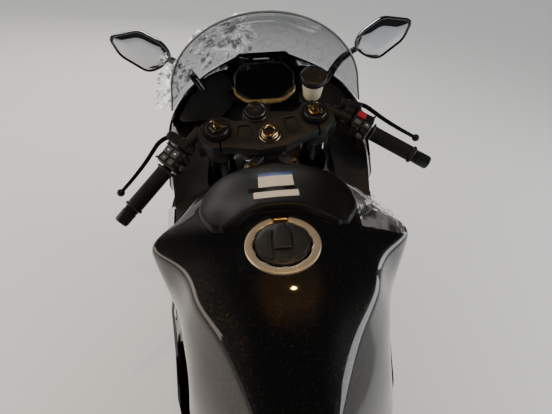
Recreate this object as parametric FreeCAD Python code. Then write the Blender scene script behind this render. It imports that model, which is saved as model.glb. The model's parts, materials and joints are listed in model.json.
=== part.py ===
"""Sport bike, parked on its side stand with the steering turned a little to the left.

The bike is drawn upright and straight first, in millimetres: X forward from the rear axle, Y to the
rider's left, Z up from the ground. What steers is drawn in the steering frame: A forward and square
to the steering axis, B to the left, S up along the axis, from the point level with the front axle.
At the end every piece is turned into the parked pose, and the whole is centred on its footprint.
"""

import FreeCAD, Part
import math
import os
from FreeCAD import Placement, Rotation, Vector

# Driving dimensions of the whole bike
WHEELBASE = 1420.0
RAKE_DEG = 24.5
FORK_OFFSET = 31.0
FORK_SPACING = 208.0
LEAN_DEG = 9.5
STEER_REST_DEG = 8.0
STEER_LOCK_DEG = 27.0

# Tyres and rims
FRONT_TYRE_R = 300.0
FRONT_TYRE_W = 120.0
FRONT_CROWN_DROP = 36.0
REAR_TYRE_R = 315.0
REAR_TYRE_W = 182.0
REAR_CROWN_DROP = 52.0
BEAD_R = 216.0
RIM_FLANGE_R = 223.0
RIM_WALL = 6.0
FRONT_RIM_W = 92.0
REAR_RIM_W = 142.0
TYRE_WALL = 9.0
BEAD_RISE = 4.0

# Gaps: between pieces that only touch, and round a shaft that turns in its hole
SEAT_GAP = 0.3
RUNNING_GAP = 0.05
DISC_GAP = 5.0

X_AXIS = Vector(1, 0, 0)
Y_AXIS = Vector(0, 1, 0)
Z_AXIS = Vector(0, 0, 1)
RAKE = math.radians(RAKE_DEG)
FRONT_AXLE = Vector(WHEELBASE, 0, FRONT_TYRE_R)
REAR_AXLE = Vector(0, 0, REAR_TYRE_R)
STEER_FORWARD = Vector(math.cos(RAKE), 0, math.sin(RAKE))
STEER_UP = Vector(-math.sin(RAKE), 0, math.cos(RAKE))
STEER_ORIGIN = FRONT_AXLE - STEER_FORWARD * FORK_OFFSET
STEER_FRAME = Placement(STEER_ORIGIN, Rotation(Y_AXIS, -RAKE_DEG))

nodes = {}


# Helpers for wires and solids

def rounded_wire(points, radius):
    """Closed wire through points, each corner an arc of the radius, or less where a side is short."""
    count = len(points)
    starts = []
    ends = []
    edges = []
    for i, corner in enumerate(points):
        back = points[i - 1] - corner
        ahead = points[(i + 1) % count] - corner
        turn = math.pi - back.getAngle(ahead)
        reach = min(radius * math.tan(turn / 2), 0.42 * back.Length, 0.42 * ahead.Length)
        bend = reach / math.tan(turn / 2)
        start = corner + back.normalize() * reach
        end = corner + ahead.normalize() * reach
        middle = (start + end) * 0.5
        inward = (middle - corner).normalize()
        centre = corner + inward * math.hypot(bend, reach)
        starts.append(start)
        ends.append(end)
        edges.append(Part.Arc(start, centre - inward * bend, end).toShape())
    wire = []
    for i in range(count):
        wire.append(edges[i])
        wire.append(Part.LineSegment(ends[i], starts[(i + 1) % count]).toShape())
    return Part.Wire(wire)


def section(x, pairs, radius=30.0, grow=0.0):
    """Closed section across the bike at station x, from (half width, height) pairs, top to bottom."""
    left = [Vector(x, w + grow, z) for w, z in pairs]
    right = [Vector(x, -w - grow, z) for w, z in reversed(pairs)]
    return rounded_wire(left + right, radius)


def hull(table, radius=30.0, ruled=False):
    """Solid through the sections of a table whose rows are (x, (half width, z), ...)."""
    wires = [section(row[0], row[1:], radius) for row in table]
    return Part.makeLoft(wires, True, ruled)


def shrunk(table, wall, low=0.0):
    """The same table for an inner surface: walls pulled in, the last pair lowered to open the foot."""
    rows = []
    for row in table:
        pairs = [(w - wall, z - wall) for w, z in row[1:-1]]
        w, z = row[-1]
        pairs.append((w - wall, z - low))
        rows.append((row[0], *pairs))
    return rows


def outline_face(points, radius, to_space):
    """Face from a flat outline; to_space turns each (u, v) pair into a point."""
    corners = [to_space(u, v) for u, v in points]
    wire = rounded_wire(corners, radius) if radius else Part.makePolygon(corners + corners[:1])
    return Part.Face(wire)


def side_plate(points, y_low, y_high, radius=8.0):
    """Prism from an outline seen from the side, as (x, z) pairs, between two Y planes."""
    face = outline_face(points, radius, lambda x, z: Vector(x, y_low, z))
    return face.extrude(Vector(0, y_high - y_low, 0))


def flat_plate(points, z_low, z_high, radius=8.0):
    """Prism from an outline seen from above, as (x, y) pairs, between two Z planes."""
    face = outline_face(points, radius, lambda x, y: Vector(x, y, z_low))
    return face.extrude(Vector(0, 0, z_high - z_low))


def mirrored(shape):
    """The same piece on the other side of the middle plane."""
    return shape.mirror(Vector(0, 0, 0), Y_AXIS)


def both(shape):
    """A piece and its mirror image, as solids that don't touch."""
    return Part.makeCompound([shape, mirrored(shape)])


def rod(start, end, radius):
    """Cylinder from one point to another."""
    return Part.makeCylinder(radius, (end - start).Length, start, end - start)


def across(radius, y_low, y_high, x=0.0, z=0.0):
    """Cylinder along Y between two Y planes."""
    return Part.makeCylinder(radius, y_high - y_low, Vector(x, y_low, z), Y_AXIS)


def block(x_low, x_high, y_low, y_high, z_low, z_high):
    """Box between its corner values."""
    return Part.makeBox(x_high - x_low, y_high - y_low, z_high - z_low, Vector(x_low, y_low, z_low))


def fused(first, *others):
    """One solid from pieces that overlap, with the split faces merged."""
    return first.multiFuse(list(others)).removeSplitter()


def pipe(points, radius, bend_share=0.45):
    """Round bar along straight runs joined by tangent arcs."""
    edges = []
    last = points[0]
    for before, corner, after in zip(points, points[1:], points[2:]):
        back = before - corner
        ahead = after - corner
        reach = bend_share * min(back.Length, ahead.Length)
        turn = math.pi - back.getAngle(ahead)
        start = corner + back.normalize() * reach
        end = corner + ahead.normalize() * reach
        inward = ((start + end) * 0.5 - corner).normalize()
        bend = reach / math.tan(turn / 2)
        centre = corner + inward * math.hypot(bend, reach)
        edges.append(Part.LineSegment(last, start).toShape())
        edges.append(Part.Arc(start, centre - inward * bend, end).toShape())
        last = end
    edges.append(Part.LineSegment(last, points[-1]).toShape())
    path = Part.Wire(edges)
    ring = Part.Wire(Part.makeCircle(radius, points[0], points[1] - points[0]))
    return path.makePipeShell([ring], True, False)


def spun(points, angle=360.0):
    """Solid turned about the Y axis from a closed outline of (y, radius) pairs and arcs.

    An entry that is a pair is the end of a straight line. An entry of two pairs is an arc: the point
    that it passes, then its end.
    """
    def place(pair):
        return Vector(pair[1], pair[0], 0)
    edges = []
    last = place(points[0])
    for entry in points[1:] + points[:1]:
        if isinstance(entry[0], tuple):
            end = place(entry[1])
            edges.append(Part.Arc(last, place(entry[0]), end).toShape())
        else:
            end = place(entry)
            edges.append(Part.LineSegment(last, end).toShape())
        last = end
    return Part.Face(Part.Wire(edges)).revolve(Vector(0, 0, 0), Y_AXIS, angle)


def turned_copies(shape, count, start=0.0):
    """Copies of a shape spread evenly round the Y axis."""
    copies = []
    for i in range(count):
        copy = shape.copy()
        copy.rotate(Vector(0, 0, 0), Y_AXIS, start + 360.0 * i / count)
        copies.append(copy)
    return copies


def largest(shape):
    """The biggest solid of a cut piece, without the slivers that the cut left on its far side."""
    return max(shape.Solids, key=lambda solid: solid.Volume)


def joined(*shapes):
    """Pieces that share a node as solids that don't touch."""
    return Part.makeCompound([solid for shape in shapes for solid in shape.Solids])


def keep(name, shape, body, steered=False):
    """Files a finished piece under its node name, with the body that carries it."""
    nodes[name] = (shape, body, steered)


# Wheels: tyre, cast rim with twin spokes, discs and rear sprocket, drawn about the Y axis

HUB_R = 31.0
FRONT_AXLE_R = 12.5
REAR_AXLE_R = 14.0
SPOKE_PAIRS = 5
SPOKE_SPREAD_DEG = 11.0
DISC_THICK = 5.0
FRONT_DISC_R = 155.0
FRONT_DISC_Y = 66.5
REAR_DISC_R = 110.0
REAR_DISC_Y = -104.0
REAR_HUB_RIGHT = 110.0
REAR_HUB_LEFT = 90.0
DISC_HOLES = 15


def tyre(radius, width, drop, rim_width):
    """Tyre: round crown, side walls down to the rim flange, hollow inside, open at the beads."""
    half = width / 2
    shoulder = half - 6.0
    bead = rim_width / 2
    foot = RIM_FLANGE_R + BEAD_RISE
    wall = TYRE_WALL
    side_r = (foot + radius - drop) / 2 + 4.0
    points = [
        (-bead + wall, foot), (-bead + wall, BEAD_R), (-bead, BEAD_R), (-bead, foot),
        ((-half, side_r), (-shoulder, radius - drop)),
        ((0.0, radius), (shoulder, radius - drop)),
        ((half, side_r), (bead, foot)),
        (bead, BEAD_R), (bead - wall, BEAD_R), (bead - wall, foot),
        ((half - wall, side_r), (shoulder - wall, radius - drop - wall / 2)),
        ((0.0, radius - wall), (-shoulder + wall, radius - drop - wall / 2)),
        ((-half + wall, side_r), (-bead + wall, foot)),
    ]
    return spun_closed(points)


def spun_closed(points):
    """As spun, for an outline whose last entry already ends at its first point."""
    def place(pair):
        return Vector(pair[1], pair[0], 0)
    edges = []
    last = place(points[0])
    for entry in points[1:]:
        arc = isinstance(entry[0], tuple)
        end = place(entry[1]) if arc else place(entry)
        if arc:
            edges.append(Part.Arc(last, place(entry[0]), end).toShape())
        else:
            edges.append(Part.LineSegment(last, end).toShape())
        last = end
    return Part.Face(Part.Wire(edges)).revolve(Vector(0, 0, 0), Y_AXIS, 360)


def rim(rim_width, hub_low, hub_high, axle_r, spoke_wide, spoke_deep):
    """Cast rim: barrel with flanges and a drop centre, hub bored for its axle, pairs of spokes."""
    inside = rim_width / 2 + SEAT_GAP
    seat = BEAD_R - SEAT_GAP
    lip = RIM_WALL
    well = seat - 16.0
    barrel = spun([
        (-inside - lip, RIM_FLANGE_R), (-inside, RIM_FLANGE_R), (-inside, seat),
        (-inside + 16, seat), (-inside + 24, well), (inside - 24, well), (inside - 16, seat),
        (inside, seat), (inside, RIM_FLANGE_R), (inside + lip, RIM_FLANGE_R),
        (inside + lip, RIM_FLANGE_R - 12), (inside - 18, well - lip),
        (-inside + 18, well - lip), (-inside - lip, RIM_FLANGE_R - 12),
    ])
    hub = across(HUB_R, hub_low, hub_high)
    root = Part.makePolygon([
        Vector(20, -spoke_deep / 2, -spoke_wide / 2), Vector(20, spoke_deep / 2, -spoke_wide / 2),
        Vector(20, spoke_deep / 2, spoke_wide / 2), Vector(20, -spoke_deep / 2, spoke_wide / 2),
        Vector(20, -spoke_deep / 2, -spoke_wide / 2),
    ])
    tip_wide = spoke_wide * 0.62
    tip_deep = spoke_deep * 1.1
    tip_r = well - lip / 2
    tip = Part.makePolygon([
        Vector(tip_r, -tip_deep / 2, -tip_wide / 2), Vector(tip_r, tip_deep / 2, -tip_wide / 2),
        Vector(tip_r, tip_deep / 2, tip_wide / 2), Vector(tip_r, -tip_deep / 2, tip_wide / 2),
        Vector(tip_r, -tip_deep / 2, -tip_wide / 2),
    ])
    spoke = Part.makeLoft([root, tip], True, True)
    spokes = turned_copies(spoke, SPOKE_PAIRS, -SPOKE_SPREAD_DEG)
    spokes += turned_copies(spoke, SPOKE_PAIRS, SPOKE_SPREAD_DEG)
    wheel = fused(barrel, hub, *spokes)
    return wheel.cut(across(axle_r + RUNNING_GAP, hub_low, hub_high))


def brake_disc(outer_r, band, centre_y, carrier_r, hub_y):
    """Drilled ring on a six armed carrier whose boss reaches in to the wheel's hub."""
    half = DISC_THICK / 2
    ring = across(outer_r, centre_y - half, centre_y + half)
    ring = ring.cut(across(outer_r - band, centre_y - half, centre_y + half))
    hole = Part.makeCylinder(4.5, DISC_THICK, Vector(outer_r - band / 2, centre_y - half, 0), Y_AXIS)
    ring = ring.cut(Part.makeCompound(turned_copies(hole, DISC_HOLES)))
    arm = block(carrier_r - 4, outer_r - band + 2, centre_y - half, centre_y + half, -9, 9)
    inner = min(hub_y, centre_y - half)
    outer = max(hub_y, centre_y + half)
    boss = across(carrier_r, inner, outer)
    bore = across(HUB_R + SEAT_GAP, inner, outer)
    return fused(ring, boss, *turned_copies(arm, 6)).cut(bore)


SPROCKET_TEETH = 43
CHAIN_PITCH = 15.875
CHAIN_Y = 108.0
CHAIN_W = 20.0
SPROCKET_THICK = 6.5
ROLLER_R = 5.1


def pitch_radius(teeth):
    """Radius on which a chain's pins lie round a sprocket."""
    return CHAIN_PITCH / (2 * math.sin(math.pi / teeth))


def sprocket(teeth, thick, centre_y, bore_r):
    """Toothed plate whose tips stay just inside the chain's rollers."""
    tip = pitch_radius(teeth) - ROLLER_R - 0.8
    root = tip - 6.0
    points = []
    for i in range(teeth):
        middle = 2 * math.pi * i / teeth
        step = math.pi / teeth
        for share, radius in ((-0.75, root), (-0.25, tip), (0.25, tip), (0.75, root)):
            angle = middle + share * step
            points.append(Vector(radius * math.cos(angle), centre_y - thick / 2, radius * math.sin(angle)))
    plate = Part.Face(Part.makePolygon(points + points[:1])).extrude(Vector(0, thick, 0))
    return plate.cut(across(bore_r, centre_y - thick, centre_y + thick))


def wheels():
    """Both wheels, placed on their axles."""
    front_tyre = tyre(FRONT_TYRE_R, FRONT_TYRE_W, FRONT_CROWN_DROP, FRONT_RIM_W)
    front_rim = rim(FRONT_RIM_W, -72.0, 72.0, FRONT_AXLE_R, 30.0, 26.0)
    disc = brake_disc(FRONT_DISC_R, 34.0, FRONT_DISC_Y, 56.0, 15.0)
    rear_tyre = tyre(REAR_TYRE_R, REAR_TYRE_W, REAR_CROWN_DROP, REAR_RIM_W)
    rear_rim = rim(REAR_RIM_W, -REAR_HUB_RIGHT, REAR_HUB_LEFT, REAR_AXLE_R, 40.0, 34.0)
    rear_disc = brake_disc(REAR_DISC_R, 32.0, REAR_DISC_Y, 48.0, -60.0)
    cog = sprocket(SPROCKET_TEETH, SPROCKET_THICK, CHAIN_Y, 50.0)
    face_y = CHAIN_Y + SPROCKET_THICK / 2
    carrier = across(62.0, 20.0, face_y).cut(across(HUB_R + SEAT_GAP, 20.0, REAR_HUB_LEFT + SEAT_GAP))
    cog = fused(cog, carrier).cut(across(REAR_AXLE_R + 4.0, 20.0, face_y))
    at_front = Placement(Vector(FORK_OFFSET, 0, 0), Rotation())
    for name, shape in (("front_tyre", front_tyre), ("front_rim", front_rim)):
        shape.Placement = at_front
        keep(name, shape, "front_wheel", True)
    discs = both(disc)
    discs.Placement = at_front
    keep("front_discs", discs, "front_wheel", True)
    rear = (("rear_tyre", rear_tyre), ("rear_rim", rear_rim), ("rear_disc", rear_disc),
            ("rear_sprocket", cog))
    for name, shape in rear:
        shape.translate(REAR_AXLE)
        keep(name, shape, "rear_wheel")


# Front end, drawn in the steering frame

FORK_TUBE_R = 27.0
SLIDER_R = 20.5
FORK_TOP_S = 684.0
FORK_TUBE_FOOT_S = 205.0
YOKE_TOP_S = 674.0
YOKE_THICK = 24.0
LOWER_YOKE_S = 470.0
LOWER_YOKE_THICK = 42.0
STEM_R = 17.0
HEAD_TUBE_R = 36.0
HEAD_LOW_S = 517.0
HEAD_HIGH_S = 640.0
LOCK_A = 60.0
LOCK_B = 18.0
LOCK_R = 22.0
FORK_B = FORK_SPACING / 2

# Clip-on bar: where its tube starts, and its direction outwards, back and down
BAR_START = Vector(61.5, 141.8, 646.9)
BAR_ALONG = Vector(-0.616, 0.761, -0.203).normalize()
BAR_R = 11.0
BAR_LENGTH = 224.0
GRIP_FROM = 110.0
GRIP_TO = 216.0
GRIP_R = 16.5
SWITCH_FROM = 62.0
SWITCH_TO = 106.0
PERCH_FROM = 34.0
PERCH_TO = 58.0
BAR_END_TO = 255.0


def bar_point(t, ahead=0.0, up=0.0):
    """Point at t along the left bar, moved forward of it and above it."""
    forward = BAR_ALONG.cross(Z_AXIS).normalize()
    above = forward.cross(BAR_ALONG).normalize()
    return BAR_START + BAR_ALONG * t + forward * ahead + above * up


def bar_placement(t):
    """Frame on the left bar: X forward of it, Y up from it, Z outwards along it."""
    forward = BAR_ALONG.cross(Z_AXIS).normalize()
    above = forward.cross(BAR_ALONG).normalize()
    turn = Rotation(forward, BAR_ALONG.cross(forward), BAR_ALONG, "ZXY")
    return Placement(bar_point(t), turn), above


def yoke_outline(points):
    """Points of one half, followed by their mirror images in reverse."""
    return points + [(a, -b) for a, b in reversed(points)]


def fork():
    """Fork tubes, sliders with their feet, yokes, stem, caps, nut and lock."""
    leg = Vector(FORK_OFFSET, FORK_B, 0)
    tube = rod(leg + Z_AXIS * FORK_TUBE_FOOT_S, leg + Z_AXIS * FORK_TOP_S, FORK_TUBE_R)
    collar = rod(leg + Z_AXIS * FORK_TUBE_FOOT_S, leg + Z_AXIS * (FORK_TUBE_FOOT_S + 26), FORK_TUBE_R + 3)
    well = rod(leg + Z_AXIS * FORK_TUBE_FOOT_S, leg + Z_AXIS * (FORK_TUBE_FOOT_S + 90), SLIDER_R + SEAT_GAP)
    mouth = rod(leg + Z_AXIS * (FORK_TOP_S - 6), leg + Z_AXIS * FORK_TOP_S, FORK_TUBE_R - 3)
    keep("fork_tubes", both(fused(tube, collar).cut(well).cut(mouth)), "steering", True)

    slider = rod(leg + Z_AXIS * 60, leg + Z_AXIS * (FORK_TUBE_FOOT_S + 89), SLIDER_R)
    keep("fork_sliders", both(slider), "steering", True)

    foot = rod(leg + Z_AXIS * 36, leg + Z_AXIS * 92, SLIDER_R + 6)
    boss = across(25.0, FORK_B - 22, FORK_B + 16, FORK_OFFSET, 0)
    web = side_plate([(FORK_OFFSET - 24, 0), (FORK_OFFSET + 24, 0), (FORK_OFFSET + 20, 70),
                      (FORK_OFFSET - 20, 70)], FORK_B - 20, FORK_B + 14, 4)
    lug = side_plate([(FORK_OFFSET - 62, 118), (FORK_OFFSET - 10, 84), (FORK_OFFSET - 10, 40),
                      (FORK_OFFSET - 30, 18), (FORK_OFFSET - 76, 54)], FORK_B - 18, FORK_B - 6, 6)
    foot = fused(foot, boss, web, lug)
    foot = foot.cut(rod(leg + Z_AXIS * 59.7, leg + Z_AXIS * 92, SLIDER_R + RUNNING_GAP))
    foot = foot.cut(across(FRONT_AXLE_R + RUNNING_GAP, FORK_B - 40, FORK_B + 40, FORK_OFFSET, 0))
    keep("fork_feet", both(foot), "steering", True)

    axle = across(FRONT_AXLE_R, -FORK_B - 18, FORK_B + 18, FORK_OFFSET, 0)
    keep("front_axle", axle.cut(across(9.0, -FORK_B - 18, FORK_B + 18, FORK_OFFSET, 0)), "steering", True)

    top = YOKE_TOP_S
    low = YOKE_TOP_S - YOKE_THICK
    shape = yoke_outline([(58, 24), (46, 62), (64, 84), (70, 108), (52, 140), (14, 144), (-8, 122),
                          (-15, 84), (-34, 28)])
    yoke = flat_plate(shape, low, top, 14)
    lock_ring = Part.makeCylinder(LOCK_R + 7, YOKE_THICK, Vector(LOCK_A, LOCK_B, low))
    yoke = fused(yoke, lock_ring)
    for side in (1, -1):
        bore = Part.makeCylinder(FORK_TUBE_R + RUNNING_GAP, 60, Vector(FORK_OFFSET, side * FORK_B, low - 5))
        pocket = flat_plate([(34, side * 36), (36, side * 60), (8, side * 68), (-10, side * 46),
                             (4, side * 34)], top - 5, top + 1, 6)
        slot = block(-40, FORK_OFFSET, side * FORK_B - 1.5, side * FORK_B + 1.5, low - 1, top + 1)
        yoke = yoke.cut(bore).cut(pocket).cut(slot)
    yoke = yoke.cut(Part.makeCylinder(STEM_R + RUNNING_GAP, 60, Vector(0, 0, low - 5)))
    yoke = yoke.cut(Part.makeCylinder(LOCK_R + RUNNING_GAP, 60, Vector(LOCK_A, LOCK_B, low - 5)))
    keep("upper_yoke", yoke, "steering", True)

    low = LOWER_YOKE_S
    shape = yoke_outline([(48, 40), (70, 84), (74, 112), (52, 142), (14, 144), (-10, 118),
                          (-18, 80), (-36, 26)])
    yoke = flat_plate(shape, low, low + LOWER_YOKE_THICK, 14)
    for side in (1, -1):
        bore = Part.makeCylinder(FORK_TUBE_R + RUNNING_GAP, 60, Vector(FORK_OFFSET, side * FORK_B, low - 5))
        yoke = yoke.cut(bore)
    stem = Part.makeCylinder(STEM_R, YOKE_TOP_S + 8 - low, Vector(0, 0, low))
    ring = Part.makeCylinder(STEM_R + 10, 7, Vector(0, 0, HEAD_HIGH_S + 2))
    yoke = fused(yoke, stem, ring)
    keep("lower_yoke", yoke, "steering", True)

    cap = rod(leg + Z_AXIS * (FORK_TOP_S - 5.9), leg + Z_AXIS * (FORK_TOP_S + 3), FORK_TUBE_R - 3.2)
    nut = hexagon(15.0, 7.0, leg + Z_AXIS * (FORK_TOP_S + 3))
    screw = rod(leg + Z_AXIS * (FORK_TOP_S + 9), leg + Z_AXIS * (FORK_TOP_S + 14), 7)
    keep("fork_caps", both(fused(cap, nut, screw)), "steering", True)

    washer = Part.makeCone(23.5, 20.0, 6, Vector(0, 0, YOKE_TOP_S))
    nut = hexagon(17.5, 9.0, Vector(0, 0, YOKE_TOP_S + 6))
    bore = Part.makeCylinder(STEM_R + RUNNING_GAP, 8.2, Vector(0, 0, YOKE_TOP_S))
    hole = Part.makeCylinder(9.0, 20, Vector(0, 0, YOKE_TOP_S))
    keep("stem_nut", fused(washer, nut).cut(bore).cut(hole), "steering", True)

    lock = Part.makeCylinder(LOCK_R, 58, Vector(LOCK_A, LOCK_B, YOKE_TOP_S - 44))
    rim_ring = Part.makeCylinder(LOCK_R + 4, 4, Vector(LOCK_A, LOCK_B, YOKE_TOP_S + SEAT_GAP))
    dish = Part.makeCylinder(LOCK_R - 6, 3, Vector(LOCK_A, LOCK_B, YOKE_TOP_S + 11))
    key = block(LOCK_A - 7, LOCK_A + 7, LOCK_B - 1.5, LOCK_B + 1.5, YOKE_TOP_S + 4, YOKE_TOP_S + 20)
    keep("ignition_lock", fused(lock, rim_ring).cut(dish).cut(key), "steering", True)


def hexagon(corner_r, height, base):
    """Six sided prism standing on base."""
    points = [base + Vector(corner_r * math.cos(math.pi * i / 3), corner_r * math.sin(math.pi * i / 3), 0)
              for i in range(6)]
    return Part.Face(Part.makePolygon(points + points[:1])).extrude(Vector(0, 0, height))


def bar_controls():
    """Clip-on bars, grips, bar ends, switch housings, levers and the brake reservoir."""
    clamp_low = YOKE_TOP_S - YOKE_THICK - 40
    clamp_high = YOKE_TOP_S - YOKE_THICK - 2
    centre = Vector(FORK_OFFSET, FORK_B, clamp_low)
    ring = Part.makeCylinder(FORK_TUBE_R + 9, clamp_high - clamp_low, centre)
    inner_end = bar_point(-2)
    tube = rod(inner_end, bar_point(BAR_LENGTH), BAR_R)
    arm = rod(Vector(FORK_OFFSET + 16, FORK_B + 22, clamp_low + 20), bar_point(12), 13)
    lug = block(FORK_OFFSET - 12, FORK_OFFSET + 6, FORK_B + 30, FORK_B + 48, clamp_low, clamp_high)
    clip = fused(ring, arm, tube, lug)
    bore = Part.makeCylinder(FORK_TUBE_R + RUNNING_GAP, 80, centre - Z_AXIS * 20)
    clip = clip.cut(bore).cut(nodes["upper_yoke"][0])
    keep("clip_ons", both(clip), "steering", True)

    hole = rod(bar_point(GRIP_FROM - 60), bar_point(BAR_LENGTH + 0.2), BAR_R + RUNNING_GAP)
    grip = rod(bar_point(GRIP_FROM), bar_point(GRIP_TO), GRIP_R)
    inner = rod(bar_point(GRIP_FROM), bar_point(GRIP_FROM + 4), GRIP_R + 4)
    outer = rod(bar_point(GRIP_TO - 6), bar_point(GRIP_TO), GRIP_R + 3)
    end = rod(bar_point(GRIP_TO + 1), bar_point(BAR_END_TO), 15.0)
    left = joined(fused(grip, inner, outer).cut(hole), end.cut(hole))
    keep("grips", joined(left, mirrored(left)), "steering", True)

    place, above = bar_placement(0)
    body = fused(
        rod(bar_point(SWITCH_FROM), bar_point(SWITCH_TO), 24.0),
        slab(SWITCH_FROM, SWITCH_TO, -26, 26, -14, 22),
    )
    switch = body.cut(rod(bar_point(SWITCH_FROM - 5), bar_point(SWITCH_TO + 5), BAR_R + RUNNING_GAP))
    keep("switchgear", both(switch), "steering", True)

    perch = rod(bar_point(PERCH_FROM), bar_point(PERCH_TO), 17.0)
    arm = slab(PERCH_FROM, PERCH_TO, 10, 52, -8, 8)
    perch = fused(perch, arm).cut(rod(bar_point(PERCH_FROM - 2), bar_point(PERCH_TO + 2), BAR_R + RUNNING_GAP))
    blade = pipe([bar_point(46, 44), bar_point(74, 57), bar_point(120, 49), bar_point(204, 46)], 6.0)
    ball = Part.makeSphere(8.5, bar_point(206, 46))
    lever = fused(perch, blade, ball)
    master = rod(bar_point(20, 30, 2), bar_point(66, 44, 2), 12.0)
    right = mirrored(lever)
    right = fused(right, mirrored(master))
    right = right.cut(mirrored(rod(bar_point(-20), bar_point(90), BAR_R + RUNNING_GAP)))
    keep("levers", Part.makeCompound([lever, right]), "steering", True)

    base = Vector(RESERVOIR_A, -RESERVOIR_B, RESERVOIR_S)
    pot = Part.makeCone(20, 25, 50, base)
    cap = Part.makeCylinder(29, 15, base + Z_AXIS * 50)
    stay = rod(base + Z_AXIS * 4, Vector(FORK_OFFSET + 26, -FORK_B - 6, clamp_low + 14), 5)
    pot = fused(pot, cap, stay).cut(nodes["clip_ons"][0]).cut(nodes["fork_tubes"][0])
    keep("brake_reservoir", largest(pot), "steering", True)


RESERVOIR_A = 114.0
RESERVOIR_B = 122.0
RESERVOIR_S = 636.0


def slab(t_low, t_high, ahead_low, ahead_high, up_low, up_high):
    """Block round the left bar, between distances along it, forward of it and above it."""
    corners = [(ahead_low, up_low), (ahead_high, up_low), (ahead_high, up_high), (ahead_low, up_high)]
    wire = rounded_wire([bar_point(t_low, a, u) for a, u in corners], 8.0)
    return Part.Face(wire).extrude(BAR_ALONG * (t_high - t_low))


FENDER_R = 309.0
FENDER_WALL = 3.0
FENDER_HALF = 68.0


def front_guard_and_brakes():
    """Front mudguard, the two front calipers and the hoses."""
    half = FENDER_HALF
    drop = FRONT_CROWN_DROP + 8
    wall = FENDER_WALL
    skin = spun([
        (-half, FENDER_R - drop), ((0.0, FENDER_R + wall), (half, FENDER_R - drop)),
        (half - wall, FENDER_R - drop), ((0.0, FENDER_R), (-half + wall, FENDER_R - drop)),
    ], FENDER_SWEEP_DEG)
    skin.rotate(Vector(0, 0, 0), Y_AXIS, -FENDER_FROM_DEG - FENDER_SWEEP_DEG)
    skin.translate(Vector(FORK_OFFSET, 0, 0))
    flap = side_plate([(FORK_OFFSET - 40, 296), (FORK_OFFSET + 44, 296), (FORK_OFFSET + 30, 214),
                       (FORK_OFFSET + 16, 166), (FORK_OFFSET - 16, 166), (FORK_OFFSET - 34, 218)],
                      FENDER_HALF - 3.0, FENDER_HALF, 8)
    stay = across(7.0, FENDER_HALF - 3.0, FORK_B - SLIDER_R - SEAT_GAP, FORK_OFFSET, 180)
    tyre_room = across(FENDER_R, -90, 90, FORK_OFFSET, 0).cut(
        across(FENDER_R - 60, -90, 90, FORK_OFFSET, 0))
    flap = fused(flap, stay)
    guard = fused(skin, flap, mirrored(flap))
    keep("front_fender", guard, "steering", True)
    centre = Vector(FORK_OFFSET, 0, 0)
    body = sector(92, 174, 112, 156, FRONT_DISC_Y - 22, FORK_B - 18.3)
    slot_half = DISC_THICK / 2 + DISC_GAP
    slot = across(FRONT_DISC_R + DISC_GAP, FRONT_DISC_Y - slot_half, FRONT_DISC_Y + slot_half)
    caliper = body.cut(slot)
    caliper.translate(centre)
    keep("front_calipers", both(caliper), "steering", True)


FENDER_FROM_DEG = 18.0
FENDER_SWEEP_DEG = 128.0


def sector(r_low, r_high, from_deg, to_deg, y_low, y_high):
    """Ring segment about the Y axis; angles run from +X towards +Z."""
    ring = across(r_high, y_low, y_high).cut(across(r_low, y_low, y_high))
    reach = 2 * r_high
    a = math.radians(from_deg)
    b = math.radians(to_deg)
    wedge = Part.Face(Part.makePolygon([
        Vector(0, y_low, 0), Vector(reach * math.cos(a), y_low, reach * math.sin(a)),
        Vector(reach * math.cos(b), y_low, reach * math.sin(b)), Vector(0, y_low, 0),
    ])).extrude(Vector(0, y_high - y_low, 0))
    return ring.common(wedge)


# Frame, engine and drive

PIVOT = Vector(590, 0, 385)
PIVOT_R = 12.0
CHAIN_ROOM_IN_Y = 92.0
PLATE_IN_Y = 126.0
PLATE_OUT_Y = 150.0
# Spar sections: station x, centre y, centre z, thickness, height, lean of the section
SPAR_SECTIONS = [
    (1122, 25, 808, 30, 100, 24),
    (1060, 86, 770, 32, 108, 16),
    (940, 160, 690, 32, 96, 4),
    (760, 156, 622, 32, 92, 0),
    (640, 138, 560, 26, 108, 0),
]
STAND_PIVOT = Vector(648, 178, 262)
STAND_AXIS = Vector(0, 0.877, 0.48).normalize()
STAND_BOLT_R = 7.0


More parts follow.
